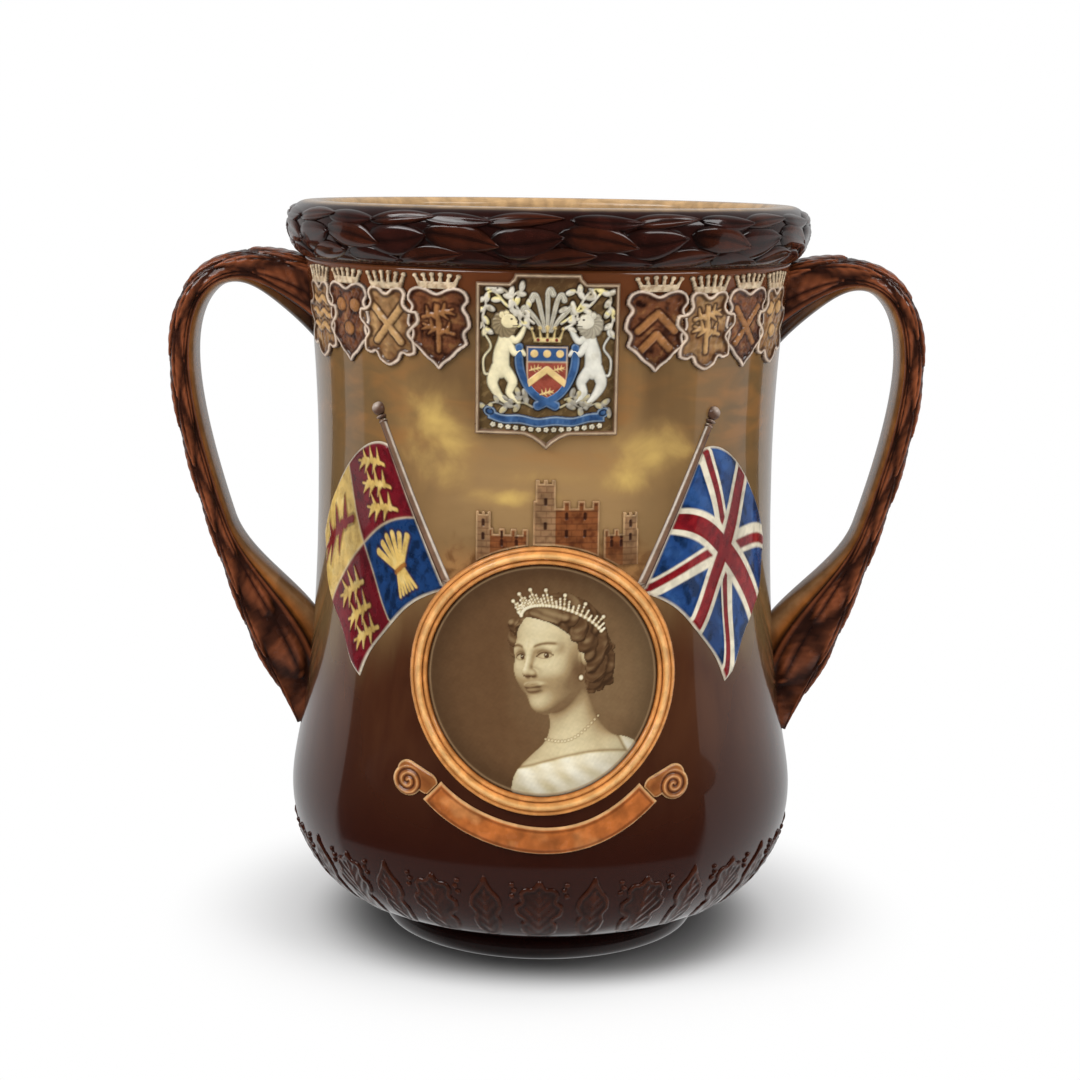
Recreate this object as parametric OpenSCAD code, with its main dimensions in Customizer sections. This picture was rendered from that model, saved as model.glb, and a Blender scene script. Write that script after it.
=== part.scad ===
// Two-handled loving cup in brown-glazed earthenware, as the potter's separate clay pieces.
// Millimetres. +Z is up, the foot stands on z = 0 and the front faces -Y.

/* [Body] */
// Height of the whole cup, table to lip
cup_h = 265; // [240:1:300]
// Outer radius at the waist, the narrowest place
waist_r = 82.6; // [74:0.2:90]
// Height of the waist
waist_z = 172; // [160:1:184]
// Outer radius where the wall meets the rim band
neck_r = 87.2; // [83:0.2:92]
// Outer radius of the belly, the widest place
belly_r = 92.5; // [86:0.5:100]
// Height of the widest place
belly_z = 52; // [44:1:60]
// Thickness of the wall
wall = 6.5; // [4:0.5:9]
// Thickness of the floor
floor_t = 7; // [5:0.5:12]

/* [Foot ring] */
// Radius of the foot ring at the table
foot_r = 58; // [50:0.5:66]
// Height of the foot ring
foot_h = 10; // [7:0.5:14]
// Radial width of the face that the cup stands on
foot_w = 9; // [6:0.5:14]
// Height of the round bead at the table
foot_bead_h = 4.2; // [2.5:0.1:5]
// Depth of the cove between the bead and the bowl
foot_cove = 3; // [1:0.5:4]

/* [Rim band] */
// Height of the moulded band above the wall
rim_h = 20; // [16:0.5:24]
// How far the band stands out from the neck at its fullest, without the leaves
rim_out = 6.2; // [4:0.2:9]
// Radius of the rounding inside the lip
lip_r = 3; // [1.5:0.5:4]
// Leaves in each of the two rows of the wreath
wreath_count = 30; // [20:2:40]
// Space between the tip of a wreath leaf and the next leaf
wreath_gap = 4.5; // [2:0.5:7]
// Width of a wreath leaf
wreath_leaf_w = 6.5; // [4:0.5:8]
// Height of the wreath's relief
wreath_lift = 1.1; // [0.6:0.1:2]

/* [Handles] */
// Distance from the waist's wall to the outer face of the strap
handle_reach = 54.5; // [44:0.5:64]
// Width of the strap, across the fingers
handle_w = 28; // [20:1:36]
// Thickness of the strap
handle_t = 11; // [8:0.5:15]
// Height of the strap's widest reach, below the neck
handle_out_drop = 36; // [28:1:46]
// Height of the lower leaf's tip
handle_tip_z = 72; // [64:1:82]
// Depth of the curled leaf under the upper root
handle_curl = 26; // [18:1:30]

/* [Leaf border] */
// Leaves round the bowl
border_count = 30; // [20:2:36]
// Height where the leaves spring from, above the foot ring
border_rise = 5; // [3:0.5:8]
// Height of the leaves
border_h = 28; // [20:0.5:31]
// Height of the leaves' relief
border_lift = 1.2; // [0.6:0.1:2]

/* [Ribbon] */
// Width of the ribbon
ribbon_w = 9; // [6:0.5:11]
// Space between the ribbon and the frame
ribbon_gap = 4; // [2:0.5:6]
// Angle that the ribbon runs to each side of straight down
ribbon_sweep = 43; // [34:1:50]
// Height of the ribbon's relief
ribbon_lift = 1.8; // [1:0.1:3]
// Radius of the curled ends
curl_r = 5.2; // [3.5:0.1:6.5]

/* [Medallion] */
// Outer radius of the round frame
medal_r = 45; // [36:0.5:50]
// Width of the frame's moulding
frame_w = 6.2; // [4:0.2:9]
// Height of the frame's moulding
frame_lift = 2.8; // [1.5:0.1:4]
// Height of the plaque inside the frame
plaque_lift = 0.8; // [0.5:0.1:1.4]

/* [Flags] */
// Angle round the cup of the middle of each flag
flag_turn = 47; // [42:1:52]
// Space between the shields' points and the top of the pole
pole_gap = 18.5; // [12:0.5:26]
// Width of the pole
pole_w = 2.4; // [1.6:0.1:3.4]
// Radius of the ball on the pole
finial_r = 2.4; // [1.8:0.1:3.2]
// Length of bare pole above the flag
hoist_drop = 9; // [6:0.5:14]
// Height of the flag's relief
flag_lift = 1.6; // [0.8:0.1:2.4]

/* [Arms panel] */
// Space between the rim band and the panel
panel_drop = 1; // [0.5:0.5:4]
// Width of the panel
panel_w = 47; // [38:0.5:52]
// Height of the panel, without its point
panel_h = 53; // [44:0.5:58]
// Height of the panel's lower point
point_drop = 5; // [2:0.5:8]
// Height of the notches in the upper corners
ear_drop = 3; // [1.5:0.5:5]
// Height of the panel's relief
panel_lift = 1; // [0.6:0.1:1.6]
// Height of the figures above the panel
figure_lift = 1.2; // [0.6:0.1:2]
// Width of the panel's raised border
border_w = 1.6; // [1:0.1:2.4]
// Width of the scroll below the figures
scroll_w = 4.4; // [3:0.2:5]

/* [Shields] */
// Width of a shield
shield_w = 18.4; // [14:0.2:19]
// Height of a shield without its crown
shield_h = 24; // [18:0.5:26]
// Space between two shields
shield_gap = 2; // [1:0.2:3]
// Height of the crown
crown_h = 8.5; // [6:0.5:10]
// Height of the shields' relief
shield_lift = 1.5; // [0.8:0.1:2.4]

/* [Castle] */
// Share of the space below the arms panel that the castle's turret takes up
castle_rise = 0.72; // [0.5:0.02:0.84]
// Width of the keep
keep_w = 22; // [16:0.5:26]
// Space between the keep and the ranges beside it
range_gap = 1.5; // [1:0.5:4]
// Height of the castle's relief
castle_lift = 1; // [0.6:0.1:1.6]

/* [Hidden] */
$fn = 64;
neck_z = cup_h - rim_h;
rim_r = neck_r + rim_out;
base_r = foot_r - 1;
clear = 0.3;
seat = 0.05;
steps = 14;
belly_pull = 0.15;
waist_pull = 0.75;

// The front's layout: the medallion low on the wall, the panel and the shields under the neck
border_low_z = foot_h + border_rise;
border_top_z = border_low_z + border_h;
medal_at = 0.2953;
medal_z = belly_z + (neck_z - belly_z) * medal_at;
ribbon_r = medal_r + ribbon_gap;
panel_top_z = neck_z - panel_drop;
panel_low_z = panel_top_z - panel_h - point_drop;
shield_top_z = neck_z - panel_drop - crown_h;
shield_low_z = shield_top_z - shield_h;
pole_top_z = shield_low_z - pole_gap;

// Angle that a width takes up on the wall
function turn_of(width, r) = width / r * 180 / PI;

// Shields beside the panel and behind, clear of the handles
shield_pitch = turn_of(shield_w + shield_gap, neck_r);
front_first = turn_of(panel_w / 2 + shield_gap, neck_r) + shield_pitch / 2 + turn_of(shield_gap, neck_r);
front_side = 4;
rear_side = 5;
shield_front = [for (side = [-1, 1], i = [0 : front_side - 1]) side * (front_first + i * shield_pitch)];
shield_rear = [for (i = [-rear_side : rear_side]) 180 + i * shield_pitch];
shield_turns = concat(shield_front, shield_rear);
shield_names = [for (i = [1 : len(shield_turns)]) str("shield_", i)];

glaze_dark = [0.20, 0.09, 0.05];
glaze_brown = [0.33, 0.17, 0.09];
glaze_tan = [0.66, 0.50, 0.31];
glaze_sky = [0.60, 0.47, 0.29];
glaze_amber = [0.79, 0.49, 0.22];
glaze_cream = [0.86, 0.82, 0.66];
glaze_blue = [0.20, 0.33, 0.52];
glaze_red = [0.58, 0.14, 0.14];
glaze_sepia = [0.45, 0.35, 0.24];
glaze_olive = [0.36, 0.28, 0.17];

// Curves of the wall

function bezier(a, b, c, d, t) =
    pow(1 - t, 3) * a + 3 * pow(1 - t, 2) * t * b + 3 * (1 - t) * t * t * c + t * t * t * d;

// Quarter ellipse of the bowl, from its edge at the floor up to the belly
function bowl_points(edge, side) =
    [for (i = [0 : steps - 1]) let (a = 90 * i / steps)
        [edge[0] + (side[0] - edge[0]) * sin(a), side[1] + (edge[1] - side[1]) * cos(a)]];

// Long hollow from the belly up to the waist
function hollow_points(side, waist) =
    let (rise = waist[1] - side[1])
    [for (i = [0 : steps - 1])
        bezier(side, side + [0, rise * belly_pull], waist - [0, rise * waist_pull], waist, i / steps)];

// Flare from the waist up to the neck
function flare_points(waist, neck) =
    [for (i = [0 : steps]) let (t = i / steps)
        [waist[0] + (neck[0] - waist[0]) * t * t, waist[1] + (neck[1] - waist[1]) * t]];

function wall_points(inset, edge_r, floor_z) = concat(
    bowl_points([edge_r, floor_z], [belly_r - inset, belly_z]),
    hollow_points([belly_r - inset, belly_z], [waist_r - inset, waist_z]),
    flare_points([waist_r - inset, waist_z], [neck_r - inset, neck_z]));

outer_wall = wall_points(0, base_r, foot_h);
inner_wall = wall_points(wall, base_r, foot_h + floor_t);
wall_table = [for (p = outer_wall) [p[1], p[0]]];
function wall_r(z) = lookup(z, wall_table);

function reversed(list) = [for (i = [len(list) - 1 : -1 : 0]) list[i]];

// Outward normal of the wall at a height
function wall_normal(z) =
    let (dz = 0.5, slope = (wall_r(z + dz) - wall_r(z - dz)) / (2 * dz), n = [1, -slope])
    n / norm(n);

// Points of the outer wall between two heights, with both ends
function wall_between(low, high) = concat(
    [[wall_r(low), low]],
    [for (p = outer_wall) if (p[1] > low + 0.01 && p[1] < high - 0.01) p],
    [[wall_r(high), high]]);

// The skin of clay between two distances from the wall, where the sprigs lie
module skin(low, high, from, to) {
    line = wall_between(low, high);
    near = [for (p = line) p + from * wall_normal(p[1])];
    far = [for (p = line) p + to * wall_normal(p[1])];
    rotate_extrude() polygon(concat(near, reversed(far)));
}

// A flat outline drawn out to a bar that passes through the wall, towards the front
module press(up) {
    from = foot_r / 2;
    translate([0, -from, up]) rotate([90, 0, 0]) linear_extrude(height = belly_r + rim_r - from) children();
}

// A flat outline pressed on the wall: turn is its angle round the cup, up its height
module sprig(turn, up, low, high, from, to) {
    rotate([0, 0, turn]) intersection() {
        skin(max(low, foot_h + clear), min(high, neck_z - clear), from, to);
        press(up) children();
    }
}

// Flat strokes and outlines shared by the sprigs

// Straight stroke with round ends
module stroke(a, b, w) {
    heading = atan2(b[1] - a[1], b[0] - a[0]);
    n = 6;
    polygon(concat(
        [for (i = [0 : n]) let (t = heading - 90 + 180 * i / n) b + w / 2 * [cos(t), sin(t)]],
        [for (i = [0 : n]) let (t = heading + 90 + 180 * i / n) a + w / 2 * [cos(t), sin(t)]]));
}

// Pointed leaf with two bowed edges, from its stalk at the origin along +Y
function leaf_points(l, w) =
    let (n = 8)
    concat([for (i = [0 : n]) [w / 2 * sin(180 * i / n), l * i / n]],
           [for (i = [n - 1 : -1 : 1]) [-w / 2 * sin(180 * i / n), l * i / n]]);

// Shield with a straight top and two bowed sides that meet in a point
function shield_points(w, h) =
    let (n = 7, shoulder = 0.45)
    concat([[-w / 2, 0], [w / 2, 0]],
           [for (i = [0 : n]) let (a = 90 * i / n) [w / 2 * cos(a), -h * shoulder - h * (1 - shoulder) * sin(a)]],
           [for (i = [n - 1 : -1 : 0]) let (a = 90 * i / n) [-w / 2 * cos(a), -h * shoulder - h * (1 - shoulder) * sin(a)]]);

// Circlet with five points
function crown_points(w, h) =
    let (peaks = 5, base = 0.35, spread = 1.12)
    concat([[-w / 2, 0], [w / 2, 0]],
           [for (i = [0 : 2 * peaks - 2]) let (t = 1 - 2 * i / (2 * peaks - 2))
               [t * w / 2 * (i % 2 == 0 ? spread : 1), i % 2 == 0 ? h : h * base]]);

// Crown and shield in one outline, with the shield's top edge at height 0
function crowned_points(w, h, crown) =
    let (circlet = 0.72, body = shield_points(w, h), top = crown_points(w * circlet, crown))
    concat([for (i = [2 : len(body) - 1]) body[i]], [body[0]],
           [top[0]], [for (i = [len(top) - 1 : -1 : 2]) top[i]], [top[1]], [body[1]]);

// The vessel

module core() {
    rotate_extrude() polygon(concat([[0, foot_h]], outer_wall, [[0, neck_z]]));
}

module body() {
    color(glaze_sky)
        rotate_extrude()
            polygon(concat([[0, foot_h]], outer_wall, reversed(inner_wall), [[0, foot_h + floor_t]]));
}

module foot_ring() {
    edge = foot_r - base_r;
    cove_r = foot_r - foot_cove;
    slope = foot_cove / 2;
    color(glaze_dark)
        rotate_extrude() polygon([
            [foot_r - foot_w, 0], [foot_r - edge, 0], [foot_r, edge], [foot_r, foot_bead_h],
            [cove_r, foot_bead_h + slope], [cove_r, foot_h - slope], [base_r, foot_h], [foot_r - foot_w, foot_h]]);
}

// Half section of the rim band, from the neck round to the inside of the lip
rim_full_at = 0.65;
rim_mid_z = neck_z + rim_h * rim_full_at;
rim_root_r = neck_r - lip_r / 3;
rim_start = -80;
rim_steps = 16;
lip_share = 0.2;
function rim_points(lift) =
    [for (i = [0 : rim_steps]) let (a = rim_start + (90 - rim_start) * i / rim_steps, below = rim_mid_z - neck_z)
        [rim_root_r + (rim_r + lift - rim_root_r) * cos(a),
         rim_mid_z + (a < 0 ? below : rim_h - below + lift * lip_share) * sin(a)]];

module rim_band() {
    inner_r = neck_r - wall;
    color(glaze_dark)
        rotate_extrude() polygon(concat(
            [[inner_r, neck_z], [neck_r, neck_z]],
            rim_points(0),
            [for (a = [90 : 15 : 180]) [inner_r + lip_r + lip_r * cos(a), cup_h - lip_r + lip_r * sin(a)]]));
}

// Two rows of laurel leaves that lie along the band
module rim_wreath() {
    row_rise = wreath_leaf_w * 0.62;
    middle_z = rim_mid_z - rim_h * 0.1;
    pitch = 360 / wreath_count;
    leaf_l = 2 * rim_r * sin(pitch / 2) - wreath_gap;
    tilt = 8;
    color(glaze_brown)
        for (row = [-1, 1], i = [0 : wreath_count - 1])
            rotate([0, 0, (i + (row > 0 ? 0 : 0.5)) * pitch]) difference() {
                intersection() {
                    rotate_extrude() polygon(concat(
                        [[rim_root_r, neck_z + clear]], rim_points(wreath_lift), [[rim_root_r, cup_h]]));
                    press(middle_z + row * row_rise)
                        translate([-leaf_l / 2, 0]) rotate(-90 - row * tilt)
                            polygon(leaf_points(leaf_l, wreath_leaf_w));
                }
                rim_core();
            }
}

// Everything inside the face of the rim band
module rim_core() {
    rotate_extrude() polygon(concat(
        [[0, neck_z], [neck_r, neck_z]], rim_points(0), [[rim_root_r, cup_h + 1], [0, cup_h + 1]]));
}

// The handles

// Middle line of the strap: an arch from the upper root out to the widest reach, then a run down to the tip
handle_r = waist_r + handle_reach - handle_t / 2;
handle_out_z = neck_z - handle_out_drop;
root_z = neck_z - handle_t / 2 - panel_drop;
root_r = wall_r(root_z);
arch_lift = handle_t * 0.68;
arch_over = handle_t / 2;
arch_bow = 0.36;
arch = [[root_r - wall / 2, root_z], [root_r + handle_reach * arch_bow, root_z + arch_lift],
        [handle_r, neck_z - handle_t / 2 + arch_over], [handle_r, handle_out_z]];
tip_stand = 0.5;
tip = [wall_r(handle_tip_z) + tip_stand, handle_tip_z];
fall = handle_out_z - handle_tip_z;
run_bow = 0.23;
run_in = 0.5;
run_up = 0.38;
run = [[handle_r, handle_out_z], [handle_r, handle_out_z - fall * run_bow],
       [tip[0] + (handle_r - tip[0]) * run_in, handle_tip_z + fall * run_up], tip];

arch_rings = 20;
run_rings = 28;
ring_sides = 20;
function path_at(i) = i <= arch_rings
    ? bezier(arch[0], arch[1], arch[2], arch[3], i / arch_rings)
    : bezier(run[0], run[1], run[2], run[3], (i - arch_rings) / run_rings);
last_ring = arch_rings + run_rings;
function path_heading(i) =
    let (d = path_at(min(i + 1, last_ring)) - path_at(max(i - 1, 0))) d / norm(d);

// Smooth step from 0 to 1 as t goes from one value to another
function eased(t, from, to) = let (c = min(max((t - from) / (to - from), 0), 1)) c * c * (3 - 2 * c);

// Share of the way down the run, from 0 at the widest reach to 1 at the tip
function run_share(i) = max(i - arch_rings, 0) / run_rings;

// Half sizes of the strap along its way: the curled leaf hangs under the root, the web fills the lower corner
curl_end = 0.62;
web_t = handle_t * 0.95;
web_from = 0.58;
web_to = 0.84;
function curl_at(i) = pow(1 - min(i / (arch_rings * curl_end), 1), 2);
function inner_half(i) =
    handle_t / 2 + (handle_curl - handle_t / 2) * curl_at(i) + web_t * eased(run_share(i), web_from, web_to);
tip_thin = 0.8;
function outer_half(i) = handle_t / 2 * (1 - tip_thin * eased(run_share(i), tip_thin, 1));
slim = 0.14;
tip_narrow = 0.78;
function strap_half_width(i) =
    handle_w / 2 * (1 - slim * eased(run_share(i), 0.1, 0.6))
    * (1 - tip_narrow * pow(eased(run_share(i), 0.62, 1), 1.5));
squareness = 0.72;
function rounded(v) = sign(v) * pow(abs(v), squareness);

// One ring of the strap: x across the path in the handle's plane, y across the fingers
function strap_ring(i) =
    let (p = path_at(i), h = path_heading(i), out = [-h[1], h[0]])
    [for (k = [0 : ring_sides - 1])
        let (a = 360 * k / ring_sides, n = sin(a), q = (n > 0 ? outer_half(i) : inner_half(i)) * rounded(n),
             at = p + q * out)
        [at[0], strap_half_width(i) * rounded(cos(a)), at[1]]];

module strap() {
    points = [for (i = [0 : last_ring]) each strap_ring(i)];
    sides = [for (i = [0 : last_ring - 1], k = [0 : ring_sides - 1])
        let (a = i * ring_sides + k, b = i * ring_sides + (k + 1) % ring_sides)
        each [[a, a + ring_sides, b], [b, a + ring_sides, b + ring_sides]]];
    first = [for (k = [0 : ring_sides - 1]) k];
    last = [for (k = [ring_sides - 1 : -1 : 0]) last_ring * ring_sides + k];
    polyhedron(points, concat(sides, [first, last]));
}

module handle(turn) {
    color(glaze_brown) difference() {
        rotate([0, 0, turn]) strap();
        core();
        rotate_extrude() polygon(concat(
            [[0, neck_z], [neck_r, neck_z]], rim_points(wreath_lift + clear), [[0, cup_h + 1]]));
    }
}

// The medallion and its ribbon

module medal_bar(r) {
    translate([0, 0, medal_z]) rotate([90, 0, 0]) cylinder(r = r, h = belly_r + rim_r);
}

module medallion_frame() {
    low = medal_z - ribbon_r;
    high = medal_z + ribbon_r;
    groove = frame_w * 0.28;
    step_lift = frame_lift * 0.7;
    color(glaze_amber) difference() {
        union() {
            sprig(0, medal_z, low, high, 0, step_lift) circle(r = medal_r);
            sprig(0, medal_z, low, high, 0, frame_lift) difference() {
                circle(r = medal_r - groove);
                circle(r = medal_r - frame_w + groove);
            }
        }
        medal_bar(medal_r - frame_w);
    }
}

module medallion_plaque() {
    color(glaze_sepia)
        sprig(0, medal_z, medal_z - medal_r, medal_z + medal_r, 0, plaque_lift) circle(r = medal_r - frame_w);
}

ribbon_low = medal_z - ribbon_r - ribbon_w - ribbon_gap;

// Sector below the medallion's centre, to the ribbon's two ends
module ribbon_sector(sweep) {
    far = (ribbon_r + ribbon_w) * 1.6;
    polygon([[0, 0], [-far * sin(sweep), -far * cos(sweep)], [0, -far], [far * sin(sweep), -far * cos(sweep)]]);
}

module ribbon_band() {
    color(glaze_amber)
        sprig(0, medal_z, ribbon_low, medal_z, 0, ribbon_lift) intersection() {
            difference() {
                circle(r = ribbon_r + ribbon_w);
                circle(r = ribbon_r);
            }
            ribbon_sector(ribbon_sweep);
        }
}

// Folded end of the ribbon: a short tail behind the band, and its roll
module ribbon_curl(side) {
    mid = ribbon_r + ribbon_w / 2;
    fold = ribbon_sweep + 3;
    edge = mid * [sin(fold), -cos(fold)];
    tail = edge + ribbon_w * [0.75, 0.35];
    roll = tail - [0, ribbon_w * 0.35];
    behind = ribbon_lift * 0.8;
    color(glaze_amber)
        sprig(0, medal_z, ribbon_low, medal_z, 0, behind) mirror([side < 0 ? 1 : 0, 0]) difference() {
            union() {
                stroke(edge, tail, ribbon_w * 0.8);
                translate(roll) circle(r = curl_r);
            }
            ribbon_sector(ribbon_sweep + turn_of(clear, ribbon_r));
            circle(r = medal_r + clear);
        }
}

// The flags, drawn for the right side in the plane at flag_turn

hoist_top = [-medal_r * 0.28, pole_top_z - hoist_drop];
hoist_low = [-medal_r * 0.78, medal_z + medal_r * 0.64];
fly_top = [medal_r * 0.71, medal_z + medal_r * 0.87];
fly_low = [medal_r * 0.04, medal_z - medal_r * 0.13];

flag_steps = 8;
function flag_edge(a, b, c, d) = [for (i = [0 : flag_steps - 1]) bezier(a, b, c, d, i / flag_steps)];
flag_outline = concat(
    flag_edge(hoist_top, hoist_top + medal_r * [0.27, 0.22], fly_top + medal_r * [-0.22, 0.49], fly_top),
    flag_edge(fly_top, fly_top + medal_r * [0.02, -0.27], fly_low + medal_r * [0.27, 0.22], fly_low),
    flag_edge(fly_low, fly_low + medal_r * [-0.18, 0.36], hoist_low + medal_r * [0.36, -0.13], hoist_low),
    [hoist_low]);

module flag_cut() {
    medal_bar(medal_r + clear);
}

module flag_piece(side, low, high, lift) {
    difference() {
        sprig(side * flag_turn, 0, low, high, 0, lift) mirror([side < 0 ? 1 : 0, 0]) children();
        flag_cut();
    }
}

pole_tail = 0.2;
pole_low = hoist_low + (hoist_low - hoist_top) * pole_tail;
pole_way = (hoist_top - hoist_low) / (hoist_top[1] - hoist_low[1]);
pole_top = hoist_top + hoist_drop * pole_way;

module flag(side) {
    color(side < 0 ? glaze_red : glaze_blue)
        flag_piece(side, fly_low[1] - hoist_drop, pole_top_z, flag_lift) difference() {
            polygon(flag_outline);
            stroke(pole_low, pole_top, pole_w + clear);
        }
}

module flagpole(side) {
    lean = flag_turn + asin(pole_top[0] / wall_r(pole_top_z));
    ball_z = pole_top[1] + pole_w / 2 + finial_r;
    color(glaze_tan) {
        flag_piece(side, 0, pole_top_z + pole_w, flag_lift + clear) stroke(pole_low, pole_top, pole_w);
        difference() {
            rotate([0, 0, side * lean]) translate([0, -wall_r(ball_z), ball_z]) sphere(r = finial_r);
            core();
        }
    }
}

// The arms panel and its figures

panel_mid_z = panel_top_z - panel_h / 2;
ear = panel_w * 0.27;
ear_slope = ear_drop / 2;
point_half = panel_w * 0.19;

function panel_points(in) =
    let (w = panel_w / 2 - in, top = panel_h / 2 - in, low = -panel_h / 2 + in)
    [[-w, top - ear_drop], [-w + ear - ear_slope, top - ear_drop], [-w + ear, top], [w - ear, top],
     [w - ear + ear_slope, top - ear_drop], [w, top - ear_drop], [w, low], [point_half, low],
     [0, low - point_drop], [-point_half, low], [-w, low]];

module panel_sprig(from, to) {
    sprig(0, panel_mid_z, panel_low_z - panel_drop, neck_z, from, to) children();
}

module arms_panel() {
    top = panel_lift + figure_lift;
    color(glaze_olive) difference() {
        panel_sprig(0, top) polygon(panel_points(0));
        panel_sprig(panel_lift, top + clear) polygon(panel_points(border_w));
    }
}

module figure() {
    panel_sprig(panel_lift + seat, panel_lift + figure_lift) children();
}

// A place on the panel, as shares of its half width and half height
function on_panel(x, y) = [x * panel_w / 2, y * panel_h / 2];

module arms_shield() {
    color(glaze_red) figure()
        translate(on_panel(0, 0.12)) polygon(shield_points(panel_w * 0.3, panel_h * 0.36));
}

// Beast on its hind legs, facing the shield; drawn for the right side
beast = [
    [0.47, 0.23], [0.42, 0.29], [0.46, 0.40], [0.55, 0.50], [0.70, 0.42], [0.77, 0.20], [0.75, -0.06],
    [0.80, -0.16], [0.85, -0.08], [0.84, 0.08], [0.89, 0.22], [0.90, 0.04], [0.91, -0.12], [0.84, -0.26],
    [0.84, -0.40], [0.86, -0.50], [0.79, -0.57], [0.61, -0.62], [0.62, -0.57], [0.71, -0.52], [0.64, -0.42],
    [0.54, -0.47], [0.52, -0.61], [0.40, -0.62], [0.42, -0.57], [0.46, -0.44], [0.56, -0.28], [0.58, -0.12],
    [0.52, -0.02], [0.43, -0.13], [0.37, -0.09], [0.41, -0.02], [0.50, 0.09], [0.41, 0.08], [0.36, 0.14],
    [0.42, 0.18], [0.52, 0.19]];

module arms_beast(side) {
    color(glaze_cream) figure() mirror([side < 0 ? 1 : 0, 0])
        polygon([for (p = beast) on_panel(p[0], p[1])]);
}

module arms_crest() {
    plume_lean = 38;
    color(glaze_cream) figure() {
        translate(on_panel(0, 0.16)) polygon(crown_points(panel_w * 0.2, panel_h * 0.11));
        for (side = [-1, 1])
            translate(on_panel(side * 0.12, 0.42)) rotate(-side * plume_lean)
                polygon(leaf_points(panel_h * 0.2, panel_w * 0.1));
    }
}

// Bowed scroll on the panel's lower edge
module arms_scroll() {
    low = -panel_h / 2 + border_w + clear + scroll_w / 2;
    bow = panel_w * 1.2;
    color(glaze_blue) figure() intersection() {
        translate([0, low + bow]) difference() {
            circle(r = bow + scroll_w / 2);
            circle(r = bow - scroll_w / 2);
        }
        translate([0, low]) square([panel_w * 0.84, panel_h * 0.3], center = true);
    }
}

// The row of crowned shields

module shield(i) {
    color(i % 2 == 0 ? glaze_brown : glaze_tan)
        sprig(shield_turns[i], shield_top_z, shield_low_z - shield_gap, neck_z, 0, shield_lift)
            polygon(crowned_points(shield_w, shield_h, crown_h));
}

// The castle behind the medallion

castle_dip = 3;
castle_z = medal_z + medal_r - castle_dip;
turret_h = (panel_low_z - castle_z) * castle_rise;
keep_h = turret_h * 0.72;
range_h = turret_h * 0.34;
tower_h = turret_h * 0.56;
keep_turn = 5;
left_range_w = keep_w * 0.8;
right_range_w = keep_w * 0.55;
left_range_turn = keep_turn - turn_of(keep_w / 2 + range_gap + left_range_w / 2, waist_r);
right_range_turn = keep_turn + turn_of(keep_w / 2 + range_gap + right_range_w / 2, waist_r);

// Wall with square teeth, its top at a height above the castle's base line
module battlements(w, top, teeth) {
    tooth = w / (2 * teeth - 1);
    wall_top = top - tooth;
    translate([-w / 2, -castle_dip]) square([w, wall_top + castle_dip]);
    for (i = [0 : teeth - 1]) translate([-w / 2 + 2 * i * tooth, 0]) square([tooth, top]);
}

module castle(turn) {
    low = castle_z - castle_dip - range_gap;
    difference() {
        sprig(turn, castle_z, low, panel_low_z, 0, castle_lift) children();
        medal_bar(medal_r + clear);
        for (side = [-1, 1])
            sprig(side * flag_turn, 0, low, pole_top_z, 0, flag_lift + clear)
                mirror([side < 0 ? 1 : 0, 0]) stroke(pole_low, pole_top, pole_w + 2 * clear);
    }
}

module castle_keep() {
    color(glaze_tan) castle(keep_turn) {
        battlements(keep_w, keep_h, 5);
        translate([-keep_w * 0.32, 0]) battlements(keep_w * 0.3, turret_h, 3);
    }
}

module castle_left_range() {
    color(glaze_brown) castle(left_range_turn) {
        battlements(left_range_w, range_h, 5);
        translate([-left_range_w * 0.36, 0]) battlements(left_range_w * 0.28, tower_h, 3);
    }
}

module castle_right_range() {
    color(glaze_brown) castle(right_range_turn) {
        battlements(right_range_w, range_h, 4);
        translate([right_range_w * 0.26, 0]) battlements(right_range_w * 0.42, tower_h, 3);
    }
}

// The border of leaves round the bowl

module leaf_border() {
    fill = 0.86;
    pitch = 360 / border_count;
    leaf_w = 2 * belly_r * sin(pitch / 2) * fill;
    color(glaze_dark)
        for (i = [0 : border_count - 1])
            sprig(i * pitch, border_low_z, border_low_z, border_top_z + clear, 0, border_lift)
                polygon(leaf_points(border_h, leaf_w));
}

body();
foot_ring();
rim_band();
rim_wreath();
handle(180);  // left_handle
handle(0);  // right_handle
medallion_frame();
medallion_plaque();
ribbon_band();
ribbon_curl(-1);  // ribbon_left_curl
ribbon_curl(1);  // ribbon_right_curl
flag(-1);  // left_flag
flagpole(-1);  // left_flagpole
flag(1);  // right_flag
flagpole(1);  // right_flagpole
arms_panel();
arms_shield();
arms_beast(-1);  // arms_left_beast
arms_beast(1);  // arms_right_beast
arms_crest();
arms_scroll();
castle_keep();
castle_left_range();
castle_right_range();
leaf_border();
for (i = [0 : len(shield_turns) - 1])
    shield(i);
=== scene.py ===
"""Looks of a brown-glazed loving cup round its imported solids: glazes, painted relief and studio stage."""
from math import atan2, cos, degrees, hypot, pi, radians, sin

import bpy
import numpy as np
from mathutils import Matrix, Vector
from mathutils.bvhtree import BVHTree


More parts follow.
